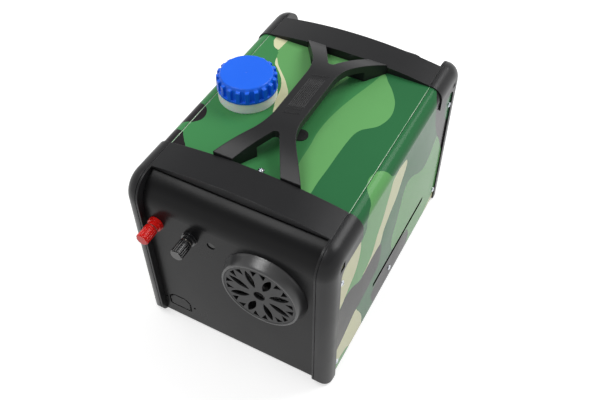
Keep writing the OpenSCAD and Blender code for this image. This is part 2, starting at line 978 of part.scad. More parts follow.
module base_pan() {
  x = half_w - sheet_back;
  color(plate_c)
    difference() {
      union() {
        block([-x, -plate_back, pan_low], [2 * x, 2 * plate_back, pan_t]);
        for (s = [0, 1])
          mirror([s, 0, 0])
            block([x - pan_t, -side_screw_y + tab_h + 2 * over, pan_low], [pan_t, 2 * (side_screw_y - tab_h - 2 * over), pan_flange]);
        for (s = [0, 1])
          mirror([0, s, 0])
            block([-recess_x + ledge_w + over, -plate_back, pan_low], [2 * (recess_x - ledge_w - over), pan_t, blank_z - blank_h / 2 - pan_low - over]);
      }
      for (s = [-1, 1])
        translate([s * (x + over), 0, side_screw_low])
          rotate([0, -s * 90, 0])
            cylinder(h = pan_t + 2 * over, r = shank_d / 2 + run_gap);
      for (sx = [-1, 1], sy = [-1, 1])
        translate([sx * (x + over), sy * plate_back, pan_low - over])
          translate([-sx * (half_w - recess_x + over), -sy * (plate_back - strip_tuck_y + over), 0])
            block([sx > 0 ? 0 : -half_w, sy > 0 ? 0 : -half_w, 0], [half_w, half_w, pan_t + 2 * over]);
    }
}

module rubber_feet() {
  color(rubber_c)
    for (sx = [-1, 1], sy = [-1, 1])
      translate([sx * foot_x, sy * foot_y, 0])
        cylinder(h = form_low, r1 = foot_d / 2 - over / 2, r2 = foot_d / 2);
}

// Handle outline in plan
module handle_plan() {
  difference() {
    square([4 * leg_end_y, 2 * leg_end_y], center = true);
    for (sx = [0, 1], sy = [0, 1])
      mirror([sx, 0])
        mirror([0, sy]) {
          translate([grip_x, -over])
            square([big, grip_y + over]);
          translate([grip_x + waist_r, grip_y])
            circle(r = waist_r);
          polygon([[tangent_x, tangent_y],
              [tangent_x + leg_l * sin(leg_angle), tangent_y + leg_l * cos(leg_angle)],
              [big, tangent_y + leg_l * cos(leg_angle)],
              [big, grip_y], [grip_x + waist_r, grip_y]]);
        }
    for (sy = [0, 1])
      mirror([0, sy])
        crotch_cut();
  }
}

// Opening between two legs
module crotch_cut() {
  x = (crotch_r - part_gap) * cos(crotch_angle);
  y = (crotch_r - part_gap) * sin(crotch_angle);
  run_x = crotch_l * sin(crotch_angle);
  run_y = crotch_l * cos(crotch_angle);
  translate([0, crotch_y + crotch_r]) {
    circle(r = crotch_r);
    polygon([[-x, -y], [x, -y], [x + run_x, run_y - y], [-x - run_x, run_y - y]]);
  }
}

// Area under the arch of the handle in side view, lowered by d
module arch_area(d) {
  intersection() {
    union() {
      square([2 * level_y, 2 * (grip_top - d)], center = true);
      for (s = [-1, 1])
        translate([s * level_y, grip_top - arch_r - d])
          circle(r = arch_r);
    }
    translate([-leg_end_y, 0])
      square([2 * leg_end_y, big]);
  }
}

module carry_handle() {
  color(black_c)
    difference() {
      intersection() {
        translate([0, 0, form_top - sheet_in])
          linear_extrude(height = big)
            handle_plan();
        across(-big, big)
          difference() {
            arch_area(0);
            difference() {
              arch_area(handle_t);
              for (s = [-1, 1])
                translate([s * (block_y + leg_end_y) / 2, 0])
                  square([leg_end_y - block_y, big], center = true);
              for (s = [-1, 1])
                translate([s * (block_y + leg_end_y) / 2, form_top])
                  square([leg_end_y - block_y, 2 * (leg_top - form_top)], center = true);
            }
          }
      }
      for (sx = [-1, 1], sy = [-1, 1])
        disc([sx * handle_screw_x, sy * handle_screw_y, form_top - sheet_back], shank_l, shank_d / 2 + run_gap);
    }
}

// Pan head screw, head upwards, its seat at the origin
module screw() {
  color(metal_c)
    difference() {
      union() {
        intersection() {
          translate([0, 0, head_h - head_dome_r])
            sphere(r = head_dome_r);
          cylinder(h = head_h, r = head_d / 2);
        }
        disc([0, 0, -shank_l], shank_l + over / 2, shank_d / 2);
      }
      for (a = [0, 90])
        rotate([0, 0, a])
          block([-cross_l / 2, -cross_w / 2, head_h - cross_d], [cross_l, cross_w, cross_d + over]);
    }
}

module top_screws() {
  for (s = [-1, 1])
    translate([0, s * top_screw_y, form_top - sheet_in])
      screw();
}

module side_screws() {
  for (side = [-1, 1]) {
    for (s = [-1, 1], z = [side_screw_low, side_screw_high])
      translate([side * (half_w - sheet_in), s * side_screw_y, z])
        rotate([0, side * 90, 0])
          screw();
    translate([side * (half_w - sheet_in), 0, side_screw_low])
      rotate([0, side * 90, 0])
        screw();
  }
}

module handle_screws() {
  for (sx = [-1, 1], sy = [-1, 1])
    translate([sx * handle_screw_x, sy * handle_screw_y, form_top - sheet_back])
      rotate([180, 0, 0])
        screw();
}

module panel_grommet() {
  color(rubber_c)
    translate([grommet_x, -grommet_y, form_top - sheet_in]) {
      difference() {
        cylinder(h = grommet_rim, r = grommet_d / 2);
        disc([0, 0, grommet_skin], grommet_rim, grommet_hole_d / 2 - over);
      }
      disc([0, 0, -sheet_t - grommet_rim], sheet_t + grommet_rim + grommet_skin / 2, grommet_hole_d / 2 - part_gap);
      disc([0, 0, -sheet_t - grommet_rim], grommet_rim, grommet_d / 2);
    }
}

module jack_plug() {
  color(rubber_c)
    translate([-jack_x, -plate_y + over, post_z])
      rotate([90, 0, 0]) {
        disc([0, 0, -jack_l], jack_l, jack_d / 2);
        disc([0, 0, -jack_l - over + plate_t], jack_l - plate_t, jack_d / 2 + over);
      }
}

// Section of the outlet collar from its axis, depth upwards from the plate
module outlet_section() {
  w = outlet_wall;
  difference() {
    union() {
      square([outlet_face_r - outlet_edge, outlet_out]);
      square([outlet_face_r, outlet_out - outlet_edge]);
      translate([outlet_face_r - outlet_edge, outlet_out - outlet_edge])
        circle(r = outlet_edge);
      square([outlet_base_r, over]);
      difference() {
        square([outlet_face_r + outlet_flare - over, outlet_flare]);
        translate([outlet_face_r + outlet_flare - over / 2, outlet_flare + over])
          circle(r = outlet_flare - over / 2);
        translate([outlet_base_r, over])
          square([big, big]);
      }
      translate([0, -outlet_spigot])
        square([outlet_hole_r - part_gap, outlet_spigot + over]);
    }
    translate([-over, outlet_out - grille_sunk - grille_t])
      square([outlet_face_r - w + over, outlet_out]);
    translate([-over, -outlet_spigot - over])
      square([outlet_hole_r - w + over, outlet_out + outlet_spigot]);
  }
}

module outlet_collar() {
  color(black_c)
    translate([air_x, -plate_y, air_z])
      rotate([90, 0, 0])
        rotate_extrude()
          outlet_section();
}

// Lens shaped opening between two radii
module petal() {
  l = (petal_out - petal_in) / 2;
  r = (l * l + petal_half * petal_half) / (2 * petal_half);
  intersection() {
    translate([(petal_in + petal_out) / 2, r - petal_half])
      circle(r = r);
    translate([(petal_in + petal_out) / 2, petal_half - r])
      circle(r = r);
  }
}

module outlet_grille() {
  color(black_c)
    translate([air_x, -plate_y - outlet_out + grille_sunk + grille_t, air_z])
      rotate([90, 0, 0])
        linear_extrude(height = grille_t)
          difference() {
            circle(r = outlet_face_r - outlet_wall - part_gap / 3);
            circle(r = grille_hole_r);
            for (i = [0 : petals - 1])
              rotate([0, 0, (i + 0.5) * 360 / petals]) {
                petal();
                for (s = [0, 1])
                  mirror([0, s])
                    polygon([
                        [wedge_in * cos(wedge_from + wedge_turn), wedge_in * sin(wedge_from + wedge_turn)],
                        [wedge_out * cos(wedge_from), wedge_out * sin(wedge_from)],
                        [wedge_out * cos(wedge_to), wedge_out * sin(wedge_to)]]);
              }
          }
}

module intake_collar() {
  color(black_c)
    translate([air_x, plate_y, air_z])
      rotate([-90, 0, 0])
        difference() {
          union() {
            cylinder(h = intake_out, r = intake_r - over / 2);
            cylinder(h = over, r = intake_r);
            disc([0, 0, -outlet_spigot], outlet_spigot + over, intake_r - intake_wall - part_gap);
          }
          disc([0, 0, -outlet_spigot - over], outlet_spigot + intake_out, intake_r - 2 * intake_wall);
          disc([0, 0, intake_out - grille_t - grille_sunk], intake_out, intake_r - intake_wall);
        }
}

module intake_grille() {
  rim = intake_r - intake_wall - part_gap / 3;
  step = (rim - intake_hub_r) / intake_rings;
  color(black_c)
    translate([air_x, plate_y + intake_out - grille_sunk, air_z])
      rotate([90, 0, 0])
        linear_extrude(height = grille_t) {
          circle(r = intake_hub_r);
          for (i = [1 : intake_rings])
            difference() {
              circle(r = intake_hub_r + i * step);
              circle(r = intake_hub_r + i * step - intake_ring_w);
            }
          for (a = [0 : 45 : 135])
            rotate([0, 0, a])
              square([2 * (rim - over / 2), intake_spoke_w], center = true);
        }
}

// Flange and neck of a post, its seat at the origin, pointing up
module post_body() {
  difference() {
    union() {
      cylinder(h = post_flange_t * flange_rim_share, r = post_flange_d / 2);
      cylinder(h = post_flange_t * flange_body_share, r = post_flange_d / 2 - over);
      disc([0, 0, post_flange_t * flange_low_share], post_flange_t * flange_crown_share, post_flange_d / 2 - over / 2);
      cylinder(h = post_flange_t + post_neck_l, r = post_neck_d / 2);
      disc([0, 0, -plate_t], plate_t + over, post_neck_d / 2 - over - part_gap);
    }
    disc([0, 0, -plate_t - over], big, stud_d / 2 + run_gap);
  }
}

module at_post(x, out) {
  translate([-x, -plate_y - out, post_z])
    rotate([90, 0, 0])
      children();
}

module red_post_body() {
  color(red_c)
    at_post(red_x, 0)
      post_body();
}

module black_post_body() {
  color(rubber_c)
    at_post(black_x, 0)
      post_body();
}

module post_studs() {
  color(metal_c)
    for (x = [red_x, black_x])
      at_post(x, -plate_t - stud_back)
        cylinder(h = plate_t + stud_back + post_flange_t + post_neck_l + stud_front,
            r = stud_d / 2);
}

module post_insulators() {
  color(white_c)
    for (x = [red_x, black_x])
      at_post(x, -plate_t - insul_t)
        difference() {
          cylinder(h = insul_t, r = post_neck_d / 2 + over);
          disc([0, 0, -over], insul_t + 2 * over, stud_d / 2 + run_gap);
        }
}

module post_nuts() {
  color(metal_c)
    for (x = [red_x, black_x])
      for (i = [1, 2])
        at_post(x, -plate_t - insul_t - i * nut_t - (i - 1) * over / 2)
          difference() {
            cylinder(h = nut_t, r = nut_r, $fn = 6);
            disc([0, 0, -over], nut_t + 2 * over, stud_d / 2 + run_gap);
          }
}

module post_washer() {
  difference() {
    cylinder(h = washer_t, r = washer_d / 2);
    disc([0, 0, -over], washer_t + 2 * over, stud_d / 2 + run_gap);
  }
}

module red_washer() {
  color(metal_c)
    at_post(red_x, post_flange_t + post_neck_l)
      post_washer();
}

module black_washer() {
  color(metal_c)
    at_post(black_x, post_flange_t + post_neck_l)
      post_washer();
}

module post_knob() {
  translate([0, 0, washer_t])
    difference() {
      union() {
        cylinder(h = knob_l - over, r = knob_d / 2);
        cylinder(h = knob_l, r = knob_d / 2 - over);
      }
      disc([0, 0, -over], stud_front - washer_t + over + 2 * part_gap, stud_d / 2 + run_gap);
      for (i = [0 : knob_flutes - 1])
        rotate([0, 0, i * 360 / knob_flutes])
          disc([knob_d / 2 + flute_r / 2, 0, over * 2], knob_l, flute_r);
    }
}

module red_knob() {
  color(red_c)
    at_post(red_x, post_flange_t + post_neck_l)
      post_knob();
}

module black_knob() {
  color(rubber_c)
    at_post(black_x, post_flange_t + post_neck_l)
      post_knob();
}

// Rounded block lying along the depth, given by half sizes
module long_block(w, z0, z1, r, l) {
  translate([0, l / 2, 0])
    rotate([90, 0, 0])
      linear_extrude(height = l)
        round_rect(w, z0, z1, r);
}

module round_rect(w, z0, z1, r) {
  translate([-w / 2 + r, z0])
    square([w - 2 * r, z1 - z0]);
  translate([-w / 2, z0 + r])
    square([w, z1 - z0 - 2 * r]);
  for (x = [-1, 1], z = [z0 + r, z1 - r])
    translate([x * (w / 2 - r), z])
      circle(r = r);
}

module fuel_tank() {
  color(white_c)
    difference() {
      union() {
        translate([-tank_x, 0, 0])
          intersection() {
            long_block(tank_w, tank_low, tank_top, tank_r, tank_l);
            translate([0, 0, tank_low])
              linear_extrude(height = tank_top - tank_low)
                translate([0, -tank_l / 2])
                  round_rect(tank_w, 0, tank_l, tank_r);
          }
        disc([-filler_x, 0, form_top - sheet_in + part_gap], shoulder_top - form_top + sheet_in - part_gap, shoulder_r);
        disc([-filler_x, 0, tank_top - over], neck_top - tank_top + over, neck_r);
      }
      translate([-tank_x, 0, 0])
        intersection() {
          long_block(tank_w - 2 * tank_wall, tank_low + tank_wall, tank_top - tank_wall,
              tank_r - tank_wall, tank_l - 2 * tank_wall);
          translate([0, 0, tank_low])
            linear_extrude(height = tank_top - tank_low)
              translate([0, -tank_l / 2])
                round_rect(tank_w - 2 * tank_wall, tank_wall, tank_l - tank_wall, tank_r - tank_wall);
        }
      disc([-filler_x, 0, tank_top - tank_wall - over], big, neck_in_r);
      disc([-tank_x, stand_y, tank_top - tank_wall - over], tank_wall + 2 * over, stand_r + part_gap);
    }
}

module tank_straps() {
  color(metal_c)
    for (s = [-1, 1])
      translate([-tank_x, s * strap_y, 0]) {
        difference() {
          long_block(tank_w + 2 * (strap_t + part_gap), tank_low - strap_t - part_gap,
              tank_top + strap_t + part_gap, tank_r + strap_t + part_gap, strap_w);
          long_block(tank_w + 2 * part_gap, tank_low - part_gap, tank_top + part_gap,
              tank_r + part_gap, strap_w + 2 * over);
        }
        translate([0, 0, pan_low + pan_t])
          difference() {
            block([-tank_w / 3, -strap_w / 2, 0], [2 * tank_w / 3, strap_w, tank_low - pan_low - pan_t]);
            block([-tank_w, -strap_w, tank_low - pan_low - pan_t - part_gap - strap_t / 2], [2 * tank_w, 2 * strap_w, tank_low]);
          }
        for (i = [-1, 1])
          block([-tank_w / 4, i * strap_w / 4 - over, pan_low + pan_t], [tank_w / 2, 2 * over, tank_low - pan_low - pan_t]);
      }
}

module cap_seal() {
  color(rubber_c)
    translate([-filler_x, 0, neck_top])
      difference() {
        cylinder(h = seal_t, r = neck_r);
        disc([0, 0, -over], seal_t + 2 * over, neck_in_r);
      }
}

module fuel_cap() {
  h = cap_top - cap_low;
  color(blue_c)
    translate([-filler_x, 0, cap_low])
      difference() {
        union() {
          cylinder(h = cap_rim_h, r = cap_low_r);
          cylinder(h = h - cap_rim_h, r1 = cap_low_r - cap_step, r2 = cap_tooth_r);
          cylinder(h = h, r = cap_top_r);
        }
        for (i = [0 : cap_ribs - 1])
          rotate([0, 0, i * 360 / cap_ribs])
            block([cap_low_r - cap_gap_d, -cap_gap_w / 2, cap_rim_h + cap_step], [big, cap_gap_w, big]);
        disc([0, 0, -over], neck_top + seal_t - cap_low + over, neck_r + run_gap);
      }
}

module fuel_standpipe() {
  color(metal_c)
    translate([-tank_x, stand_y, 0]) {
      disc([0, 0, tank_low + tank_wall + 2 * over], tank_top - tank_low - tank_wall - 2 * over, stand_r);
      disc([0, 0, tank_top], over, stand_flange_r);
    }
}

module pump_body() {
  color(metal_c)
    translate([pump_x, pump_y, pump_z])
      rotate([90, 0, 0])
        difference() {
          union() {
            disc([0, 0, -pump_l / 2], pump_l, pump_r);
            disc([0, 0, -pump_l / 2 - pump_nozzle_l], pump_l + 2 * pump_nozzle_l, pump_nozzle_r);
            for (s = [-1, 1])
              disc([0, 0, s * (pump_l / 2 + over) - over], 2 * over, pump_r - 2 * over);
          }
          disc([0, 0, -pump_cavity / 2], pump_cavity, plunger_r + run_gap);
          disc([0, 0, -pump_l], 2 * pump_l, pump_nozzle_r / 2);
        }
}

module pump_plunger() {
  color(alloy_c)
    translate([pump_x, pump_y, pump_z])
      rotate([90, 0, 0])
        translate([0, 0, -pump_cavity / 2])
          difference() {
            cylinder(h = plunger_l, r = plunger_r);
            disc([0, 0, -over], plunger_l + 2 * over, pump_nozzle_r / 2);
          }
}

module pump_mount() {
  color(rubber_c)
    translate([pump_x, pump_y, pump_z])
      difference() {
        union() {
          rotate([90, 0, 0])
            disc([0, 0, -mount_w / 2], mount_w, mount_r);
          block([-mount_r * mount_foot_share, -mount_w / 2, pan_low + pan_t - pump_z],
              [2 * mount_r * mount_foot_share, mount_w, pump_z - pan_low - pan_t]);
        }
        rotate([90, 0, 0])
          disc([0, 0, -mount_w], 2 * mount_w, pump_r + run_gap);
      }
}

module fuel_filter() {
  color(white_c)
    translate([filter_x, pump_y, pump_z])
      rotate([90, 0, 0]) {
        disc([0, 0, -filter_l / 2], filter_l, filter_r);
        disc([0, 0, -filter_l / 2 - pump_nozzle_l], filter_l + 2 * pump_nozzle_l, pump_nozzle_r);
      }
  color(white_c)
    block([filter_x - filter_r / 2, pump_y - filter_r / 2, pan_low + pan_t], [filter_r, filter_r, pump_z - pan_low - pan_t - filter_r / 2]);
}

// Quarter bend in the plane of the first two axes, from the end of a run along the first
module quarter_bend(r, t) {
  translate([0, r, 0])
    rotate([0, 0, -90])
      rotate_extrude(angle = 90)
        translate([r, 0])
          circle(r = t);
}

module suction_line() {
  z = tank_top + line_r + over;
  x = -tank_x + stand_r + 2 * over;
  color(rubber_c) {
    translate([x, stand_y, z])
      rotate([0, 90, 0])
        cylinder(h = filter_x - bend_r - x, r = line_r);
    // over the tank edge and down
    translate([filter_x - bend_r, stand_y, z])
      rotate([-90, 0, 0])
        quarter_bend(bend_r, line_r);
    disc([filter_x, stand_y, pump_z + bend_r], z - pump_z - 2 * bend_r, line_r);
    // forward to the filter
    translate([filter_x, stand_y - bend_r, pump_z])
      rotate([0, 0, 90])
        rotate([90, 0, 0])
          quarter_bend(bend_r, line_r);
    rod([filter_x, stand_y - bend_r, pump_z], stand_y - bend_r - pump_y - filter_l / 2 - pump_nozzle_l, line_r);
  }
}

module pressure_line() {
  front = pump_y - pump_l / 2 - pump_nozzle_l;
  start = pump_y - filter_l / 2 - pump_nozzle_l;
  rear = pump_y + pump_l / 2 + pump_nozzle_l;
  fuel_z = air_z - core_r - 2 * over;
  color(rubber_c) {
    // filter to pump
    rod([filter_x, start, pump_z], start - front, line_r);
    translate([filter_x + bend_r, front - bend_r, pump_z])
      rotate([0, 90, 0])
        cylinder(h = pump_x - filter_x - 2 * bend_r, r = line_r);
    translate([filter_x + bend_r, front - bend_r, pump_z])
      mirror([1, 0, 0])
        quarter_bend(bend_r, line_r);
    translate([pump_x - bend_r, front - bend_r, pump_z])
      quarter_bend(bend_r, line_r);
    // pump to burner
    translate([pump_x, rear, pump_z])
      rotate([-90, 0, 0])
        cylinder(h = core_rear - rear - bend_r, r = line_r);
    translate([pump_x, core_rear - bend_r, pump_z])
      rotate([90, 0, 90])
        quarter_bend(bend_r, line_r);
    disc([pump_x, core_rear, pump_z + bend_r], fuel_z - pump_z - bend_r, line_r);
  }
}

// Places a drawing on the heater axis at a depth, pointing to the rear
module on_axis(y) {
  translate([air_x, y, air_z])
    rotate([-90, 0, 0])
      children();
}

// Ring along the heater axis
module axis_ring(y0, y1, r, hole) {
  on_axis(y0)
    difference() {
      cylinder(h = y1 - y0, r = r);
      disc([0, 0, -over], y1 - y0 + 2 * over, hole);
    }
}

module air_ducts() {
  r = intake_r - intake_wall - part_gap;
  color(alloy_c) {
    axis_ring(-plate_y + outlet_spigot, shell_front, outlet_hole_r - part_gap, outlet_hole_r - outlet_wall);
    axis_ring(shell_rear, plate_y - outlet_spigot, r, r - intake_wall);
  }
}

module shell_half_form() {
  l = shell_rear - shell_front;
  difference() {
    translate([air_x, shell_rear, air_z])
      rotate([90, 0, 0])
        linear_extrude(height = l)
          round_rect(2 * shell_half, -shell_half, shell_half, shell_r);
    translate([air_x, shell_rear - shell_wall, air_z])
      rotate([90, 0, 0])
        linear_extrude(height = l - 2 * shell_wall)
          round_rect(2 * (shell_half - shell_wall), shell_wall - shell_half, shell_half - shell_wall,
              shell_r - shell_wall);
    on_axis(shell_front - over)
      cylinder(h = l / 2, r = shell_hole_r);
    on_axis(shell_rear - l / 2)
      cylinder(h = l, r = intake_r - 2 * intake_wall - part_gap);
  }
}

// Openings for the two pipes and the fuel line, r is added to each
module pipe_openings(z0, h, extra) {
  disc([exhaust_x, exhaust_y, z0], h, exhaust_r + extra);
  disc([breath_x, breath_y, z0], h, breath_r + extra);
  disc([pump_x, core_rear, z0], h, line_r + extra);
}

module heater_shell_lower() {
  color(black_c)
    difference() {
      intersection() {
        shell_half_form();
        block([air_x - shell_half, shell_front, air_z - shell_half], [2 * shell_half, shell_rear - shell_front, shell_half]);
      }
      pipe_openings(air_z - shell_half - over, shell_wall + 2 * over, part_gap);
    }
}

module heater_shell_upper() {
  z = air_z + shell_half - shell_wall;
  color(black_c) {
    intersection() {
      shell_half_form();
      block([air_x - shell_half, shell_front, air_z], [2 * shell_half, shell_rear - shell_front, shell_half]);
    }
    for (x = [-1, 1], y = [0, 1])
      disc([air_x + x * (board_half - chip_h), motor_front + chip_h + y * (board_l - 2 * chip_h), board_z + board_t],
          z - board_z - board_t + over, shell_wall);
  }
}

module heat_exchanger() {
  l = core_rear - core_front;
  z = air_z - shell_half + shell_wall;
  color(alloy_c)
    difference() {
      union() {
        on_axis(core_front)
          cylinder(h = l, r = core_r);
        on_axis(core_front + 2 * over)
          linear_extrude(height = l - 10 * over)
            for (i = [0 : fins / 2 - 1])
              rotate([0, 0, i * 360 / fins])
                square([2 * fin_r, fin_t], center = true);
        disc([exhaust_x, exhaust_y, z], air_z - z - core_r / 2, exhaust_r + core_wall);
      }
      on_axis(core_front + core_wall)
        cylinder(h = l, r = core_r - core_wall);
      disc([exhaust_x, exhaust_y, z - over], air_z - z - core_r / 2, exhaust_r - pipe_wall);
    }
}

module combustion_tube() {
  color(metal_c)
    difference() {
      union() {
        on_axis(core_rear)
          cylinder(h = burner_t, r = burner_r);
        on_axis(tube_front)
          cylinder(h = core_rear - tube_front + over, r = tube_r);
        block([pump_x - line_r - over, core_rear, air_z - core_r - 2 * over], [2 * (line_r + over), burner_t, core_r / 2]);
      }
      on_axis(tube_front - over)
        cylinder(h = core_rear - tube_front + over, r = tube_r - tube_wall);
      on_axis(core_rear - over)
        cylinder(h = burner_t + 2 * over, r = shaft_r + over);
      translate([tube_r / 2, 0, 0])
        on_axis(core_rear - over)
          cylinder(h = burner_t + 2 * over, r = glow_r + part_gap);
      for (y = [tube_front / 4, tube_front / 2])
        for (a = [0 : 45 : 135])
          translate([air_x, y, air_z])
            rotate([0, a, 0])
              disc([0, 0, -core_r], 2 * core_r, line_r);
    }
}

module glow_plug() {
  color(metal_c)
    translate([tube_r / 2, 0, 0]) {
      on_axis(core_rear + burner_t - glow_l)
        cylinder(h = glow_l, r = glow_r);
      on_axis(core_rear + burner_t)
        cylinder(h = 2 * over, r = glow_r + 2 * over);
    }
}

module heater_motor() {
  y = core_rear + burner_t;
  z = air_z - shell_half + shell_wall;
  color(black_c)
    difference() {
      union() {
        on_axis(y)
          cylinder(h = motor_front - y, r = burner_r);
        on_axis(motor_front - over)
          cylinder(h = motor_rear - motor_front + over, r = motor_r);
        disc([breath_x, breath_y, z], air_z - z, breath_r + shell_wall);
      }
      on_axis(y - over)
        cylinder(h = motor_front - y - shell_wall + over, r = burner_r - shell_wall);
      disc([breath_x, breath_y, z - over], air_z - z - over, breath_r - pipe_wall);
      on_axis(y)
        cylinder(h = motor_rear, r = shaft_r + run_gap);
    }
}

module motor_shaft() {
  color(metal_c) {
    on_axis(shaft_front)
      cylinder(h = shaft_rear - shaft_front, r = shaft_r);
    on_axis(fan_front - fan_plate)
      cylinder(h = fan_plate, r = 2 * shaft_r);
    on_axis(shaft_front + over + small_fan_l)
      cylinder(h = fan_plate, r = 2 * shaft_r);
  }
}

// Curved blade between two radii
module blade(r0, r1) {
  intersection() {
    difference() {
      translate([(r0 + r1) / 2, -blade_r + blade_t])
        circle(r = blade_r);
      translate([(r0 + r1) / 2, -blade_r])
        circle(r = blade_r);
    }
    translate([r0, -blade_r])
      square([r1 - r0, 2 * blade_r]);
  }
}

module blower_fan() {
  color(black_c)
    on_axis(fan_front)
      difference() {
        union() {
          cylinder(h = fan_plate, r = fan_r);
          cylinder(h = fan_l - fan_plate, r = hub_r);
          linear_extrude(height = fan_l - over)
            for (i = [0 : fan_blades - 1])
              rotate([0, 0, i * 360 / fan_blades])
                blade(fan_in_r, fan_r - over);
          translate([0, 0, fan_l - fan_plate])
            difference() {
              cylinder(h = fan_plate, r = fan_r);
              disc([0, 0, -over], fan_plate + 2 * over, fan_in_r + over);
            }
        }
        disc([0, 0, -over], fan_l + 2 * over, shaft_r + run_gap / 3);
      }
}

module combustion_fan() {
  color(alloy_c)
    on_axis(shaft_front + over)
      difference() {
        union() {
          disc([0, 0, small_fan_l - fan_plate], fan_plate, small_fan_r);
          cylinder(h = small_fan_l, r = hub_r);
          linear_extrude(height = small_fan_l - over)
            for (i = [0 : small_blades - 1])
              rotate([0, 0, i * 360 / small_blades])
                blade(small_fan_r / 2, small_fan_r - over);
        }
        disc([0, 0, -over], small_fan_l + 2 * over, shaft_r + run_gap / 3);
      }
}

module control_board() {
  color(board_c) {
    block([air_x - board_half, motor_front, board_z], [2 * board_half, board_l, board_t]);
    for (x = [-1, 1])
      block([air_x + x * chip_w - chip_w / 2, motor_front + chip_w, board_z + board_t - over / 2], [chip_w - over, chip_w, chip_h]);
    block([air_x - chip_w, motor_front + chip_h, board_z + board_t - over / 2], [2 * chip_w, chip_h, chip_h]);
  }
}

module heater_gasket() {
  z = air_z - shell_half - gasket_t;
  color(rubber_c)
    difference() {
      block([air_x - bracket_half, bracket_front, z], [2 * bracket_half, bracket_rear - bracket_front, gasket_t]);
      pipe_openings(z - over, gasket_t + 2 * over, over);
    }
}

module heater_bracket() {
  z = air_z - shell_half - gasket_t - bracket_h;
  low = pan_low + pan_t;
  color(metal_c)
    difference() {
      union() {
        block([air_x - bracket_half, bracket_front, z], [2 * bracket_half, bracket_rear - bracket_front, bracket_h]);
        for (x = [-1, 1], y = [0, 1])
          translate([air_x + x * (bracket_half - bracket_h) - bracket_h / 2,
              bracket_front + y * (bracket_rear - bracket_front - bracket_h), low])
            cube([bracket_h, bracket_h, z - low + over]);
      }
      pipe_openings(z - over, bracket_h + 2 * over, over);
    }
}

// Pipe from under the shell down, round a bend and out at the rear
module rear_pipe(x, y, r) {
  top = air_z - shell_half + shell_wall;
  difference() {
    union() {
      translate([x, plate_y, pipe_z])
        rotate([-90, 0, 0])
          cylinder(h = pipe_out, r = r);
      disc([x, y, pipe_z + pipe_bend], top - pipe_z - pipe_bend, r);
      translate([x, y + pipe_bend, pipe_z])
        rotate([0, 0, -90])
          rotate([90, 0, 0])
            quarter_bend(pipe_bend, r);
      translate([x, y + pipe_bend, pipe_z])
        rotate([-90, 0, 0])
          cylinder(h = plate_y + pipe_out / 2 - y - pipe_bend, r = r - part_gap);
    }
    disc([x, y, pipe_z + pipe_bend], top, r - pipe_wall);
    translate([x, y + pipe_bend, pipe_z])
      rotate([0, 0, -90])
        rotate([90, 0, 0])
          quarter_bend(pipe_bend, r - pipe_wall);
    translate([x, y + pipe_bend, pipe_z])
      rotate([-90, 0, 0])
        cylinder(h = case_l, r = r - pipe_wall);
  }
}

module exhaust_pipe() {
  color(metal_c)
    rear_pipe(exhaust_x, exhaust_y, exhaust_r);
}

module combustion_air_pipe() {
  color(rubber_c)
    rear_pipe(breath_x, breath_y, breath_r);
}

// Places a drawing on the sloped face of the console
module console_place() {
  translate([console_x, console_y, console_z])
    rotate([90 - console_tilt, 0, 180])
      children();
}

module console_housing() {
  color(black_c)
    difference() {
      console_place()
        translate([0, 0, -console_d])
          linear_extrude(height = console_d)
            translate([0, -console_h / 2])
              round_rect(console_w, 0, console_h, console_r);
      // seat on the rear plate
      rotate([0, 0, 180])
        across(-big, big) {
          square([plate_y, plate_cz]);
          translate([plate_cy, plate_cz])
            circle(r = plate_r + part_gap);
          square([plate_cy, plate_top + part_gap]);
        }
      block([-half_w, plate_y, 0], [case_w, big, console_low]);
      console_place() {
        translate([0, lens_up - lens_h / 2, -lens_t])
          linear_extrude(height = lens_t + over)
            round_rect(lens_w, 0, lens_h, console_r / 4);
        for (i = [-1.5 : 1 : 1.5])
          disc([i * button_gap, -button_down, -button_l - button_travel + button_out - part_gap], big, button_d / 2 + run_gap);
      }
    }
}

module display_lens() {
  color(rubber_c)
    console_place()
      translate([0, lens_up - lens_h / 2 + run_gap, -lens_t])
        linear_extrude(height = lens_t - part_gap / 2)
          round_rect(lens_w - 2 * run_gap, 0, lens_h - 2 * run_gap, console_r / 4);
}

module button(i) {
  color(plate_c)
    console_place()
      disc([i * button_gap, -button_down, button_out - button_l], button_l, button_d / 2);
}

module button_power() {
  button(1.5);
}

module button_up() {
  button(0.5);
}

module button_low() {
  button(-0.5);
}

module button_mode() {
  button(-1.5);
}

front_frame();
rear_frame();
front_plate();
rear_plate();
top_panel();
left_side_panel();
right_side_panel();
base_pan();
rubber_feet();
carry_handle();
handle_screws();
top_screws();
side_screws();
panel_grommet();
jack_plug();
outlet_collar();
outlet_grille();
intake_collar();
intake_grille();
red_post_body();
black_post_body();
post_studs();
post_insulators();
post_nuts();
red_washer();
black_washer();
red_knob();
black_knob();
fuel_tank();
tank_straps();
cap_seal();
fuel_cap();
fuel_standpipe();
pump_body();
pump_plunger();
pump_mount();
fuel_filter();
suction_line();
pressure_line();
air_ducts();
heater_shell_lower();
heater_shell_upper();
heat_exchanger();
combustion_tube();
glow_plug();
heater_motor();
motor_shaft();
blower_fan();
combustion_fan();
control_board();
heater_gasket();
heater_bracket();
exhaust_pipe();
combustion_air_pipe();
console_housing();
display_lens();
button_power();
button_up();
button_low();
button_mode();
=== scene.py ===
import math
import bpy
import bmesh
from mathutils import Matrix, Vector
from mathutils.geometry import delaunay_2d_cdt


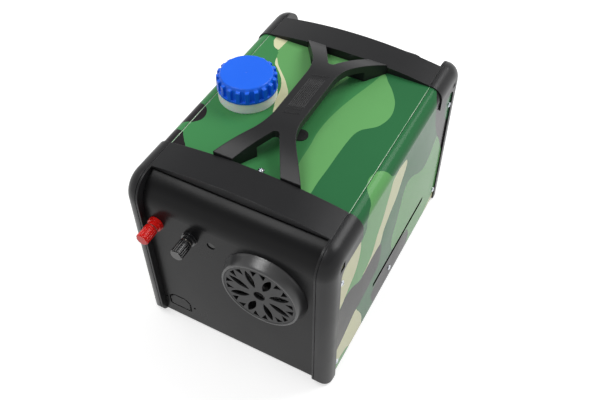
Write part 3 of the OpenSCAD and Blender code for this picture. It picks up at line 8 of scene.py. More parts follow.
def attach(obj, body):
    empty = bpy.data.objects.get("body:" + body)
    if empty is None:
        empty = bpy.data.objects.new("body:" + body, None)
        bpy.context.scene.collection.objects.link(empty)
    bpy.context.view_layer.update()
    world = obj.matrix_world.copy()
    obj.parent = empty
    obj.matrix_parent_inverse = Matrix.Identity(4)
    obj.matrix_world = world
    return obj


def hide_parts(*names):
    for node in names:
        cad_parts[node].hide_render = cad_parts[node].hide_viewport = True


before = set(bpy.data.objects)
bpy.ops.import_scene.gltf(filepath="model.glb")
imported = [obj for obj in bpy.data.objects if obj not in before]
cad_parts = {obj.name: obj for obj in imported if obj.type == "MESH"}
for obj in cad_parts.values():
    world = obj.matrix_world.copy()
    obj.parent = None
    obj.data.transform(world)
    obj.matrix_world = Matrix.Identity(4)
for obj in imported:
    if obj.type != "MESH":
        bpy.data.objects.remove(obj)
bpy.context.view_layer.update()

# Camera and stage
# The camera stands in front, to the right and above, as the photograph was taken.
# The floor is pale paper. Two large soft boxes light the part, one high on the right from
# behind, one high on the left from the front.
scene = bpy.context.scene
lens = bpy.data.cameras.new("photo_camera")
lens.lens = 45.3
lens.sensor_width = 36.0
lens.sensor_fit = "HORIZONTAL"
lens.clip_start = 0.01
camera = bpy.data.objects.new("photo_camera", lens)
scene.collection.objects.link(camera)
camera_right = Vector((0.88313, 0.46913, -0.00189))
camera_up = Vector((-0.35175, 0.66480, 0.65902))
camera_back = Vector((0.31043, -0.58133, 0.75212))
camera.matrix_world = Matrix.Translation((0.28018, -0.53636, 0.77783)) @ Matrix(
    (camera_right, camera_up, camera_back)).transposed().to_4x4()
scene.camera = camera
scene.view_settings.view_transform = "Standard"


def new_material(name):
    material = bpy.data.materials.new(name)
    material.use_nodes = True
    nodes = material.node_tree.nodes
    nodes.clear()
    output = nodes.new("ShaderNodeOutputMaterial")
    return material, material.node_tree, output


def put(tree, kind, values=(), **settings):
    node = tree.nodes.new(kind)
    for name, value in settings.items():
        setattr(node, name, value)
    for socket, value in values:
        if hasattr(value, "is_linked"):
            tree.links.new(value, node.inputs[socket])
        else:
            node.inputs[socket].default_value = value
    return node


def cover(tree, output, values, kind="ShaderNodeBsdfPrincipled"):
    shader = put(tree, kind, values)
    tree.links.new(shader.outputs[0], output.inputs["Surface"])


def direct_view(tree, path):
    seen = put(tree, "ShaderNodeMath", [(0, path.outputs["Is Camera Ray"]), (1, path.outputs["Is Glossy Ray"])],
               operation="MAXIMUM")
    return put(tree, "ShaderNodeMath", [(0, seen.outputs[0]), (1, path.outputs["Is Transmission Ray"])],
               operation="MAXIMUM")


def soft_box(name, place, target, width, height, power):
    light = bpy.data.lights.new(name, "AREA")
    light.shape = "RECTANGLE"
    light.size = width
    light.size_y = height
    light.energy = power
    lamp = bpy.data.objects.new(name, light)
    scene.collection.objects.link(lamp)
    lamp.location = place
    lamp.rotation_euler = (Vector(target) - Vector(place)).to_track_quat("-Z", "Y").to_euler()


floor_mesh = bpy.data.meshes.new("paper_floor")
floor_mesh.from_pydata([(-4, -4, 0), (4, -4, 0), (4, 4, 0), (-4, 4, 0)], [], [(0, 1, 2, 3)])
paper_floor = bpy.data.objects.new("paper_floor", floor_mesh)
scene.collection.objects.link(paper_floor)
paper, tree, output = new_material("paper")
floor_lift = 0.59
diffuse = put(tree, "ShaderNodeBsdfDiffuse", [("Color", (0.62, 0.62, 0.62, 1))])
seen = direct_view(tree, put(tree, "ShaderNodeLightPath"))
lift = put(tree, "ShaderNodeMath", [(0, seen.outputs[0]), (1, floor_lift)], operation="MULTIPLY")
glow = put(tree, "ShaderNodeEmission", [("Color", (1, 1, 1, 1)), ("Strength", lift.outputs[0])])
cover(tree, output, [(0, diffuse.outputs[0]), (1, glow.outputs[0])], "ShaderNodeAddShader")
floor_mesh.materials.append(paper)

world = bpy.data.worlds.new("white_room")
scene.world = world
world.use_nodes = True
tree = world.node_tree
tree.nodes.clear()
output = put(tree, "ShaderNodeOutputWorld")
path = put(tree, "ShaderNodeLightPath")
seen = direct_view(tree, path)
level = put(tree, "ShaderNodeMapRange", [("Value", seen.outputs[0]), ("To Min", 0.5), ("To Max", 1.0)])
# The ceiling of the room is dimmer than its walls, which only reflections show
heading = put(tree, "ShaderNodeTexCoord")
rising = put(tree, "ShaderNodeSeparateXYZ", [(0, heading.outputs["Generated"])])
ceiling = put(tree, "ShaderNodeMapRange", [("Value", rising.outputs["Z"]), ("From Min", 0.25), ("From Max", 0.6),
                                           ("To Min", 0.0), ("To Max", 0.55)])
mirrored = put(tree, "ShaderNodeMath", [(0, ceiling.outputs[0]), (1, path.outputs["Is Glossy Ray"])],
               operation="MULTIPLY")
dimmed = put(tree, "ShaderNodeMath", [(0, level.outputs[0]), (1, mirrored.outputs[0])], operation="SUBTRACT")
cover(tree, output, [("Color", (1, 1, 1, 1)), ("Strength", dimmed.outputs[0])], "ShaderNodeBackground")
soft_box("key_soft_box", (0.7, 0.95, 1.6), (0, 0, 0.15), 1.0, 1.0, 19)
soft_box("overhead_soft_box", (-0.5, -0.42, 1.65), (0, -0.1, 0.12), 0.8, 0.6, 8.7)

# End frames
# Two black mouldings close the ends of the case, with a crowned bar over the top and
# cheeks down the sides. Their skin has the fine leather-like grain of such mouldings.


def add_group(name, inputs, outputs):
    group = bpy.data.node_groups.new(name, "ShaderNodeTree")
    for socket, kind, value in inputs:
        item = group.interface.new_socket(name=socket, in_out="INPUT", socket_type=kind)
        if value is not None:
            item.default_value = value
    for socket, kind in outputs:
        group.interface.new_socket(name=socket, in_out="OUTPUT", socket_type=kind)
    return group, group.nodes.new("NodeGroupInput"), group.nodes.new("NodeGroupOutput")


def noise(tree, scale, detail):
    where = put(tree, "ShaderNodeTexCoord")
    return put(tree, "ShaderNodeTexNoise", [("Vector", where.outputs["Object"]), ("Scale", scale), ("Detail", detail)])


def blend(tree, factor, first, second, **settings):
    mix = put(tree, "ShaderNodeMix", [(0, factor), (6, first), (7, second)], data_type="RGBA", **settings)
    return mix.outputs[2]


# Grain: pebbles of the mould skin, with slow patches of shine
grain, start, end = add_group(
    "mould_grain",
    [("Size", "NodeSocketFloat", 900.0), ("Depth", "NodeSocketFloat", 0.3),
     ("Roughness Low", "NodeSocketFloat", 0.35), ("Roughness High", "NodeSocketFloat", 0.5)],
    [("Height", "NodeSocketFloat"), ("Roughness", "NodeSocketFloat"), ("Patch", "NodeSocketFloat")])
where = put(grain, "ShaderNodeTexCoord")
pebbles = put(grain, "ShaderNodeTexVoronoi", [("Vector", where.outputs["Object"]), ("Scale", start.outputs["Size"])],
              feature="SMOOTH_F1")
fine = noise(grain, start.outputs["Size"], 3.0)
total = put(grain, "ShaderNodeMath", [(0, pebbles.outputs["Distance"]), (1, fine.outputs["Fac"])], operation="ADD")
height = put(grain, "ShaderNodeMath", [(0, total.outputs[0]), (1, start.outputs["Depth"])], operation="MULTIPLY")
patch = noise(grain, 14.0, 4.0)
rough = put(grain, "ShaderNodeMapRange", [("Value", patch.outputs["Fac"]), ("From Min", 0.3), ("From Max", 0.7),
                                          ("To Min", start.outputs["Roughness Low"]),
                                          ("To Max", start.outputs["Roughness High"])])
grain.links.new(height.outputs[0], end.inputs["Height"])
grain.links.new(rough.outputs[0], end.inputs["Roughness"])
grain.links.new(patch.outputs["Fac"], end.inputs["Patch"])

# Soft edges: rounds the shading of moulded and pressed edges, and marks them for lightening, partly as rubbed wear and
# partly as a painted highlight
edges, start, end = add_group(
    "soft_edges",
    [("Radius", "NodeSocketFloat", 0.0006), ("Wear And Highlight Amount", "NodeSocketFloat", 0.5)],
    [("Normal", "NodeSocketVector"), ("Wear And Highlight", "NodeSocketFloat")])
bevel = put(edges, "ShaderNodeBevel", [("Radius", start.outputs["Radius"])], samples=6)
face = put(edges, "ShaderNodeNewGeometry")
dot = put(edges, "ShaderNodeVectorMath", [(0, bevel.outputs[0]), (1, face.outputs["Normal"])], operation="DOT_PRODUCT")
turned = put(edges, "ShaderNodeMapRange", [("Value", dot.outputs["Value"]), ("From Min", 0.98), ("From Max", 0.75)])
spots = noise(edges, 60.0, 5.0)
chance = put(edges, "ShaderNodeMapRange", [("Value", spots.outputs["Fac"]), ("From Min", 0.35), ("From Max", 0.7)])
wear_and_highlight_spots = put(edges, "ShaderNodeMath", [(0, turned.outputs[0]), (1, chance.outputs[0])], operation="MULTIPLY")
wear_and_highlight = put(edges, "ShaderNodeMath", [(0, wear_and_highlight_spots.outputs[0]), (1, start.outputs["Wear And Highlight Amount"])], operation="MULTIPLY")
edges.links.new(bevel.outputs[0], end.inputs["Normal"])
edges.links.new(wear_and_highlight.outputs[0], end.inputs["Wear And Highlight"])


def grained(tree, size, depth, low, high):
    return put(tree, "ShaderNodeGroup", [("Size", size), ("Depth", depth), ("Roughness Low", low),
                                         ("Roughness High", high)], node_tree=grain)


def softened(tree, radius, wear_and_highlight_amount):
    return put(tree, "ShaderNodeGroup", [("Radius", radius), ("Wear And Highlight Amount", wear_and_highlight_amount)], node_tree=edges)


def moulded(name, colour, worn_highlight_colour, size=1500.0, depth=0.5, rough=(0.36, 0.5), radius=0.0007, wear_and_highlight_amount=0.4,
            specular=0.5, coat=0.0):
    material, tree, output = new_material(name)
    skin = grained(tree, size, depth, *rough)
    rim = softened(tree, radius, wear_and_highlight_amount)
    # Edges blend toward the paler colour: partly rubbed wear, partly a painted highlight along them
    tint = blend(tree, rim.outputs["Wear And Highlight"], colour + (1,), worn_highlight_colour + (1,))
    bump = put(tree, "ShaderNodeBump", [("Strength", 0.25), ("Distance", 0.0002),
                                        ("Height", skin.outputs["Height"]), ("Normal", rim.outputs["Normal"])])
    cover(tree, output, [("Base Color", tint), ("Roughness", skin.outputs["Roughness"]),
                         ("Specular IOR Level", specular), ("Coat Weight", coat), ("Coat Roughness", 0.1),
                         ("Normal", bump.outputs[0])])
    return material


def dress(material, *names):
    for name in names:
        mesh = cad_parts[name].data
        mesh.materials.clear()
        mesh.materials.append(material)


# The frame's edges are lightened almost all along: mostly a painted highlight, with some rubbed wear
frame_moulding = moulded("frame_moulding", (0.012, 0.012, 0.013), (0.10, 0.10, 0.102), rough=(0.28, 0.4), wear_and_highlight_amount=0.9,
                         specular=0.26)
dress(frame_moulding, "front_frame", "rear_frame")

# Camouflage sheets
# Three painted steel sheets clothe the case: one flat on top, one folded over each upper
# edge and down the side. The pattern is printed on the flat sheets, then lacquered glossy.
fold_x = 103.0
fold_z = 213.0
fold_radius = 14.2
fold_length = fold_radius * math.pi / 2
sheet_thickness = 1.2
screw_hole = 2.1


def smooth_loop(points, steps=6):
    loop = []
    n = len(points)
    for i in range(n):
        a, b, c, d = (Vector(points[(i + k) % n]) for k in (-1, 0, 1, 2))
        for s in range(steps):
            t = s / steps
            loop.append(0.5 * (2 * b + (c - a) * t + (2 * a - 5 * b + 4 * c - d) * t * t
                               + (3 * b - a - 3 * c + d) * t ** 3))
    return loop


def circle_loop(x, y, r, n=40):
    return [Vector((x + r * math.cos(i * math.tau / n), y + r * math.sin(i * math.tau / n))) for i in range(n)]


def inside(point, loop):
    found = False
    x, y = point
    for i in range(len(loop)):
        (x0, y0), (x1, y1) = loop[i - 1], loop[i]
        if (y0 > y) != (y1 > y) and x < (x1 - x0) * (y - y0) / (y1 - y0) + x0:
            found = not found
    return found


# Bends the flat sheet over the case: gives the place in metres and the way the sheet faces
def folded(u, y, depth=0.0):
    side = 1 if u >= 0 else -1
    a = abs(u)
    if a <= fold_x:
        x, z, nx, nz = a, fold_z + fold_radius - depth, 0.0, 1.0
    elif a <= fold_x + fold_length:
        turn = (a - fold_x) / fold_radius
        nx, nz = math.sin(turn), math.cos(turn)
        x, z = fold_x + (fold_radius - depth) * nx, fold_z + (fold_radius - depth) * nz
    else:
        x, z, nx, nz = fold_x + fold_radius - depth, fold_z - (a - fold_x - fold_length), 1.0, 0.0
    return Vector((side * x, y, z)) / 1000, Vector((side * nx, 0, nz))


# The print: each shape covers those before it. Places are in mm, across the flat sheet from the
# case's middle and from front to back. The mark tells whether the corners are rounded.
print_shapes = [
    ("mid_green", [(-420, -220), (-420, 220), (48, 220), (48, 96), (50, 60), (45, 20), (44, -60), (45, -220)], False),
    ("light_green", [(-79, 135), (-79, 86), (-77, 80), (-74, 71), (-62, 52), (-50, 38), (-40, 18), (-33, -4),
                     (-28, -14), (-18, -16), (-8, 0), (2, 30), (8, 52), (13, 68), (18, 85), (23, 105),
                     (25, 135)], True),
    ("cream", [(-74, 71), (-66, 60), (-56, 50), (-46, 40), (-38, 30), (-33, 23), (-28, 10), (-27, -2), (-29, -11),
               (-32, -13), (-35, -6), (-39, 5), (-41, 14), (-44, 26), (-50, 38), (-57, 47), (-65, 55),
               (-71, 61)], True),
    ("cream", [(-93, 135), (-93.5, 102), (-91, 94), (-87, 88), (-82, 85.5), (-79, 89), (-79, 135)], True),
    ("light_green", [(48, 102), (58, 91), (66, 82), (73, 72), (79, 61), (82.5, 48), (83, 38), (81, 28), (77, 19),
                     (70, 12), (64, 6), (60, -4), (58.5, -20), (58, -40), (58, -60), (57.5, -80), (57, -125),
                     (38, -125), (34, -90), (30, -75), (28, -60), (27, -40), (25, -20), (25.5, 0), (28, 20),
                     (32, 40), (37, 60), (43, 82)], True),
    ("light_green", [(107, -71), (103, -64), (100.5, -56), (101, -48), (104, -41), (109, -36.5), (114, -34),
                     (121, -31), (131, -20), (160, -18), (190, -43), (214, -60), (220, -88), (220, -97),
                     (207, -119), (203, -135), (195, -124), (187, -113), (174, -106), (161, -103), (148, -103),
                     (145, -96), (140, -91.5), (127, -91), (120, -86), (117, -80), (113, -76)], True),
    ("cream", [(142, -104), (161, -103), (174, -106), (187, -113), (195, -124), (203, -135), (208, -143),
               (215, -170), (150, -175), (120, -150), (125, -122), (133, -107)], True),
    ("cream", [(131, 5), (129, -3), (128, -10), (129, -18), (133, -27), (142, -30.5), (155, -37), (174, -46),
               (188, -57), (207, -66), (216, -78), (220, -90), (221, -74), (219, -58), (217, -46), (212, -42),
               (200, -38), (192, -30), (184, -21), (175, -9), (161, 1), (149, 9), (141, 12), (134, 10)], True),
    ("charcoal", [(211, -146), (204, -133), (207, -119), (214, -108), (221, -100), (222, -90), (219, -78),
                  (217, -62), (217, -47), (222, -41), (236, -38), (249, -39), (258, -42), (264, -50), (268, -66),
                  (271, -80), (273, -92), (271, -101), (276, -115), (284, -130), (290, -150), (293, -180),
                  (211, -180)], True),
    ("cream", [(272, -101), (283, -94), (296, -87), (310, -81), (322, -78.5), (334, -79), (348, -84), (348, -180),
               (293, -180), (290, -150), (284, -130), (277, -115)], True),
    ("light_green", [(326, -118), (322, -128), (320, -140), (318, -165), (350, -170), (350, -110), (334, -112)], True),
    ("light_green", [(267, -3), (247, -3), (232, 4), (212, 10), (192, 16), (184, 24), (186, 34), (192, 46),
                     (202, 60), (210, 74), (213, 85), (210, 95), (204, 104), (198, 109), (193, 114), (192, 120),
                     (204, 128), (214, 134), (226, 141), (240, 149), (255, 155), (275, 170), (350, 180), (350, 62),
                     (330, 58), (306, 50), (290, 30), (282, 5)], True),
    ("cream", [(249, 153), (262, 151), (280, 153), (296, 156), (309, 157), (318, 153), (323, 142), (330, 122),
               (338, 112), (352, 105), (352, 185), (250, 185)], True),
    ("charcoal", [(118, 95), (131, 93), (143, 96), (160, 102), (173, 108), (184, 114), (193, 120), (204, 128),
                  (220, 138), (240, 149), (256, 156), (262, 172), (240, 178), (205, 168), (197, 156), (189, 148),
                  (178, 139), (165, 134), (150, 135), (130, 135), (112, 140), (108, 115)], True),
    ("charcoal", [(289, -30), (298, -50), (308, -55), (328, -47), (350, -42), (350, 52), (330, 58), (320, 62),
                  (306, 58), (297, 52), (291, 30), (289, 0)], True),
    ("charcoal", [(-94, -50), (-94, -58), (-98, -64), (-104, -68), (-130, -74), (-175, -72), (-205, -50),
                  (-190, -20), (-150, -12), (-125, -22), (-112, -34), (-104, -37.5), (-98, -42)], True),
    ("charcoal", [(-85, -104), (-92, -95), (-98, -88), (-104, -83), (-128, -84), (-160, -100), (-178, -135),
                  (-150, -175), (-60, -150)], True),
    ("light_green", [(-150, 20), (-170, 60), (-205, 70), (-240, 40), (-262, -10), (-300, -40), (-350, -40),
                     (-350, 40), (-318, 60), (-290, 100), (-240, 128), (-180, 120), (-130, 80), (-122, 40)], True),
    ("cream", [(-168, 40), (-190, 66), (-224, 66), (-250, 30), (-276, -6), (-262, -20), (-236, 4), (-214, 30),
               (-190, 30), (-172, 26)], True),
    ("dark_green", [(-210, -60), (-232, -30), (-262, -40), (-276, -90), (-262, -140), (-268, -185), (-200, -185),
                    (-190, -130), (-196, -90)], True),
    ("charcoal", [(-300, 60), (-330, 80), (-350, 84), (-350, 180), (-296, 180), (-270, 150), (-276, 110),
                  (-288, 80)], True),
    ("cream", [(-284, -104), (-300, -84), (-330, -80), (-350, -84), (-350, -190), (-300, -190), (-290, -150)], True),
    ("dark_green", [(-118, 130), (-150, 118), (-190, 130), (-230, 150), (-240, 190), (-110, 190)], True),
]


def paint(name, colour):
    material, tree, output = new_material(name)
    cloud = noise(tree, 6.0, 5.0)
    shade = put(tree, "ShaderNodeMapRange", [("Value", cloud.outputs["Fac"]), ("From Min", 0.3), ("From Max", 0.7),
                                             ("To Min", 0.94), ("To Max", 1.06)])
    tint = blend(tree, 1.0, colour + (1,), shade.outputs[0], blend_type="MULTIPLY")
    skin = grained(tree, 700.0, 0.2, 0.16, 0.26)
    bump = put(tree, "ShaderNodeBump", [("Strength", 0.035), ("Distance", 0.0002), ("Height", skin.outputs["Height"])])
    cover(tree, output, [("Base Color", tint), ("Roughness", skin.outputs["Roughness"]), ("Specular IOR Level", 0.06),
                         ("Coat Weight", 0.05), ("Coat Roughness", 0.05), ("Normal", bump.outputs[0])])
    return material


paints = [paint("paint_dark_green", (0.027, 0.140, 0.052)), paint("paint_mid_green", (0.052, 0.225, 0.076)),
          paint("paint_light_green", (0.125, 0.345, 0.115)), paint("paint_cream", (0.640, 0.640, 0.400)),
          paint("paint_charcoal", (0.020, 0.017, 0.019))]
paint_names = ["dark_green", "mid_green", "light_green", "cream", "charcoal"]
sheet_edge, tree, output = new_material("sheet_edge")
brushed = put(tree, "ShaderNodeTexNoise", [("Scale", 400.0), ("Detail", 4.0)])
shine = put(tree, "ShaderNodeMapRange", [("Value", brushed.outputs["Fac"]), ("To Min", 0.3), ("To Max", 0.5)])
cover(tree, output, [("Base Color", (0.30, 0.38, 0.30, 1)), ("Metallic", 0.6), ("Roughness", shine.outputs[0])])


def camouflage_sheet(name, outline, holes, folds, shade_bands=()):
    shapes = [(paint_names.index(c), smooth_loop(p) if smooth else [Vector(v) for v in p])
              for c, p, smooth in print_shapes]
    low = [min(p[i] for p in outline) for i in (0, 1)]
    high = [max(p[i] for p in outline) for i in (0, 1)]
    near = [s for _, s in shapes if min(p[0] for p in s) < high[0] and max(p[0] for p in s) > low[0]]
    bare_metal = len(paints)
    dark = bare_metal + 1
    points, lines = [], []
    for loop in [outline] + holes + list(shade_bands) + near:
        first = len(points)
        points += [Vector(p) for p in loop]
        lines += [(first + i, first + (i + 1) % len(loop)) for i in range(len(loop))]
    for u in folds:
        first = len(points)
        points += [Vector((u, low[1] - 1)), Vector((u, high[1] + 1))]
        lines.append((first, first + 1))
    flat, _, faces, *_ = delaunay_2d_cdt(points, lines, [], 0, 1e-4)
    kept, colours = [], []
    for face in faces:
        middle = sum((flat[i] for i in face), Vector((0, 0))) / len(face)
        if not inside(middle, outline) or any(inside(middle, h) for h in holes):
            continue
        colour = 0
        for index, loop in shapes:
            if inside(middle, loop):
                colour = index
        # Faces inside a shade band take the painted shade material
        if any(inside(middle, b) for b in shade_bands):
            colour = dark
        kept.append(tuple(face))
        colours.append(colour)
    used = {}
    for face in kept:
        for i in face:
            used.setdefault(i, len(used))
    count = len(used)
    order = sorted(used, key=used.get)
    outer = [folded(*flat[i]) for i in order]
    inner = [folded(flat[i][0], flat[i][1], sheet_thickness) for i in order]
    vertices = [p for p, _ in outer] + [p for p, _ in inner]
    polygons, slots, normals = [], [], []
    sides = {}
    for face, colour in zip(kept, colours):
        ring = [used[i] for i in face]
        a, b, c = (vertices[i] for i in ring[:3])
        if (b - a).cross(c - a).dot(outer[ring[0]][1]) < 0:
            ring.reverse()
        polygons += [ring, [i + count for i in reversed(ring)]]
        slots += [colour, colour]
        normals += [outer[i][1] for i in ring] + [-outer[i][1] for i in reversed(ring)]
        for i in range(len(ring)):
            edge = (ring[i], ring[(i + 1) % len(ring)])
            if edge[::-1] in sides:
                del sides[edge[::-1]]
            else:
                sides[edge] = True
    for a, b in sides:
        start = len(vertices)
        vertices += [vertices[b], vertices[a], vertices[a + count], vertices[b + count]]
        facing = (vertices[a] - vertices[b]).cross(vertices[a + count] - vertices[b]).normalized()
        polygons.append([start, start + 1, start + 2, start + 3])
        # Walls round holes take the painted shade material; other cut edges show bare metal
        cut = (flat[order[a]] + flat[order[b]]) / 2
        at_hole = any(all(min(q[i] for q in h) - 0.1 < cut[i] < max(q[i] for q in h) + 0.1 for i in (0, 1))
                      for h in holes)
        slots.append(dark if at_hole else bare_metal)
        normals += [facing] * 4
    mesh = bpy.data.meshes.new(name)
    mesh.from_pydata(vertices, [], polygons)
    for material in paints + [sheet_edge, shadow_edge]:
        mesh.materials.append(material)
    mesh.polygons.foreach_set("material_index", slots)
    mesh.polygons.foreach_set("use_smooth", [True] * len(polygons))
    mesh.normals_split_custom_set(normals)
    sheet = bpy.data.objects.new(name, mesh)
    scene.collection.objects.link(sheet)
    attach(sheet, "case")
    return sheet


# Painted shade: a near-black matt material standing for the shade in and round the slots and behind the knock-out's
# slits
shadow_edge, tree, output = new_material("painted_slot_shade")
shade_mottle = put(tree, "ShaderNodeTexNoise", [("Scale", 300.0), ("Detail", 3.0)])
shade = blend(tree, shade_mottle.outputs["Fac"], (0.002, 0.002, 0.002, 1), (0.006, 0.006, 0.006, 1))
cover(tree, output, [("Base Color", shade), ("Roughness", 1.0), ("Specular IOR Level", 0.0)])
seam_gap = 0.3
top_half = 112.2
neck_x, neck_hole = -71, 29.7
grommet_place, grommet_hole = (11, -31), 5.5
top_outline = [Vector(v) for v in ((-fold_x + seam_gap, -top_half), (fold_x - seam_gap, -top_half),
                                   (fold_x - seam_gap, top_half), (-fold_x + seam_gap, top_half))]
top_holes = [circle_loop(neck_x, 0, neck_hole, 96), circle_loop(*grommet_place, grommet_hole)]
top_holes += [circle_loop(0, s * 94.5, screw_hole, 20) for s in (-1, 1)]
top_holes += [circle_loop(sx * 37, sy * 91, screw_hole, 20) for sx in (-1, 1) for sy in (-1, 1)]
top_sheet = camouflage_sheet("top_camouflage_sheet", top_outline, top_holes, [])
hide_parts("top_panel")


def add_piece(name, shape, material, smooth=True, sharp=None, outward=True):
    if outward:
        bmesh.ops.recalc_face_normals(shape, faces=shape.faces)
    mesh = bpy.data.meshes.new(name)
    shape.to_mesh(mesh)
    shape.free()
    mesh.polygons.foreach_set("use_smooth", [smooth] * len(mesh.polygons))
    if sharp:
        mesh.set_sharp_from_angle(angle=math.radians(sharp))
    mesh.materials.append(material)
    piece = bpy.data.objects.new(name, mesh)
    scene.collection.objects.link(piece)
    return piece


# Hemmed edges of the top sheet, which catch the light; their paler green, in patches, is a painted highlight
hem_half, hem_inset, hem_reach, hem_rise = 112.0, 0.75, 0.42, 0.26
hem = bmesh.new()
for side in (-1, 1):
    rows = []
    for k in range(25):
        y = -hem_half + 2 * hem_half * k / 24
        rows.append([hem.verts.new(Vector((side * (fold_x - hem_inset) + hem_reach * math.cos(a),
                                           y, fold_z + fold_radius - 0.02 + hem_rise * math.sin(a))) / 1000)
                     for a in (math.pi * j / 6 for j in range(7))])
    for a, b in zip(rows, rows[1:]):
        for j in range(6):
            hem.faces.new((a[j], b[j], b[j + 1], a[j + 1]))
hem_painted_highlight, tree, output = new_material("hem_painted_highlight")
highlight_patches = noise(tree, 55.0, 5.0)
spread = put(tree, "ShaderNodeMapRange", [("Value", highlight_patches.outputs["Fac"]), ("From Min", 0.35), ("From Max", 0.65)])
# Painted highlight: dark green patched with a pale green
tint = blend(tree, spread.outputs[0], (0.10, 0.30, 0.13, 1), (0.42, 0.55, 0.40, 1))
cover(tree, output, [("Base Color", tint), ("Roughness", 0.3), ("Coat Weight", 0.3)])
hems = add_piece("top_sheet_hems", hem, hem_painted_highlight)
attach(hems, "case")


# Where a height on the case's side lies on the flat sheet
def flat_place(side, z):
    return side * (fold_x + fold_length + fold_z - z)


side_foot, side_shoulder = 5.3, 206.7
side_half, corner_start, corner = 158.7, 145.7, 13
side_screws = ((24, -146.2), (24, 146.2), (24, 0), (175, -146.2), (175, 146.2))
slot_heights, slot_ends = (48.4, 53.0), (-51, 100)
shade_band_heights, shade_band_ends = (46.9, 54.5), (-52, 101)


def side_outline(side):
    low, shoulder = flat_place(1, side_foot), flat_place(1, side_shoulder)
    right = [(fold_x + seam_gap, top_half), (shoulder, top_half)]
    right += [(shoulder + corner - corner * math.cos(a), corner_start + corner * math.sin(a))
              for a in (i * math.pi / 16 for i in range(9))]
    right.append((low, side_half))
    loop = [(u, -y) for u, y in right] + [(u, y) for u, y in reversed(right)]
    return [Vector((side * u, y)) for u, y in loop]


def side_window(side, heights, ends):
    (low, high), (start, stop) = (flat_place(side, z) for z in heights), ends
    return [Vector(v) for v in ((low, start), (high, start), (high, stop), (low, stop))]


for side, name, node in ((1, "right_camouflage_sheet", "right_side_panel"),
                         (-1, "left_camouflage_sheet", "left_side_panel")):
    holes = [side_window(side, slot_heights, slot_ends)]
    holes += [circle_loop(flat_place(side, z), y, screw_hole, 20) for z, y in side_screws]
    folds = [side * (fold_x + fold_length * i / 12) for i in range(1, 13)]
    # A band of painted shade runs round the slot and widens its dark line
    slot_shade_band = side_window(side, shade_band_heights, shade_band_ends)
    sheet = camouflage_sheet(name, side_outline(side), holes, folds, [slot_shade_band])
    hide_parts(node)

# End plates
# Dished steel panels close both ends, rolled over at the top edge. They are powder coated
# in a satin black with a faint orange peel, and carry the outlet, the intake and the posts.
plate_coat = moulded("plate_coat", (0.006, 0.006, 0.0065), (0.055, 0.055, 0.057), size=420.0, depth=0.4,
                     rough=(0.27, 0.35), radius=0.0005, wear_and_highlight_amount=0.5, specular=0.17)
dress(plate_coat, "front_plate", "rear_plate")

# Inlet knock-out
# The unused opening for a mains inlet is a blank held by short bridges, with two screw holes
# beside it. Behind its slits lies the case's shaded inside, which this sheet of painted shade stands for.
blank_x, blank_z = -77.4, 31.0
shade_sheet_front, shade_sheet_back = -163.6, -163.2
knock_out_shade = bmesh.new()
wide, high, clip = 14.9, 11.1, 6.4
outline = [(-wide, -high), (wide, -high), (wide, high - clip), (wide - clip, high), (-wide + clip, high),
           (-wide, high - clip)]
front, back = ([knock_out_shade.verts.new(Vector((blank_x + x, y, blank_z + z)) / 1000) for x, z in outline]
               for y in (shade_sheet_front, shade_sheet_back))
knock_out_shade.faces.new(front)
knock_out_shade.faces.new(list(reversed(back)))
for i in range(len(outline)):
    knock_out_shade.faces.new((front[i - 1], back[i - 1], back[i], front[i]))
knock_out_shade_piece = add_piece("knock_out_shade_sheet", knock_out_shade, shadow_edge, smooth=False)
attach(knock_out_shade_piece, "case")
# Painted shade lies as dark strips along the punched slits, with bare bridges between them
slit_y = -165.54
slit_out, slit_in, bridge = 0.1, 1.2, 0.9
slit_shade = bmesh.new()
corners = [Vector((x, z)) for x, z in outline]
for i, a in enumerate(corners):
    b = corners[(i + 1) % len(corners)]
    run = (b - a).normalized()
    out = Vector((run.y, -run.x))
    ends = [a + run * bridge, b - run * bridge]
    strip = [ends[0] + out * slit_out, ends[1] + out * slit_out, ends[1] - out * slit_in, ends[0] - out * slit_in]
    slit_shade.faces.new([slit_shade.verts.new(Vector((blank_x + q.x, slit_y, blank_z + q.y)) / 1000) for q in strip])
slit_shade_piece = add_piece("knock_out_slit_shade", slit_shade, shadow_edge, smooth=False, outward=False)
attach(slit_shade_piece, "case")

# Carry handle
# One moulded arch with a waisted grip and two forked legs, pinned under the end bars.
# Nine fine ribs on the grip, with two rows of pips at each end, keep the hand from slipping.
handle_moulding = moulded("handle_moulding", (0.013, 0.013, 0.014), (0.06, 0.06, 0.061), size=1300.0,
                          rough=(0.3, 0.4), radius=0.0012, wear_and_highlight_amount=0.6, specular=0.27)
dress(handle_moulding, "carry_handle")
grip_top = 254.5
grip_ribs, rib_pitch, rib_height = 9, 1.95, 0.75
rib_start, rib_end = -26.0, 29.5
grip_slant = 0.25
pip_ends, pip_pitch, pip_radius = (-30.5, 34.0), 1.8, 0.7
grip_mesh = bmesh.new()
for i in range(grip_ribs):
    x = (i - (grip_ribs - 1) / 2) * rib_pitch
    near, far = rib_start + grip_slant * x, rib_end + grip_slant * x
    rows = []
    for k in range(9):
        t = k / 8
        y = near + (far - near) * t
        rise = rib_height * min(1.0, 5 * min(t, 1 - t) + 0.05)
        rows.append([grip_mesh.verts.new(Vector((x + dx, y, grip_top - 0.03 + dz * rise)) / 1000)
                     for dx, dz in ((-0.68, 0), (-0.5, 0.75), (0, 1), (0.5, 0.75), (0.68, 0))])
    for a, b in zip(rows, rows[1:]):
        for j in range(4):
            grip_mesh.faces.new((a[j], a[j + 1], b[j + 1], b[j]))
    grip_mesh.faces.new(rows[0])
    grip_mesh.faces.new(list(reversed(rows[-1])))
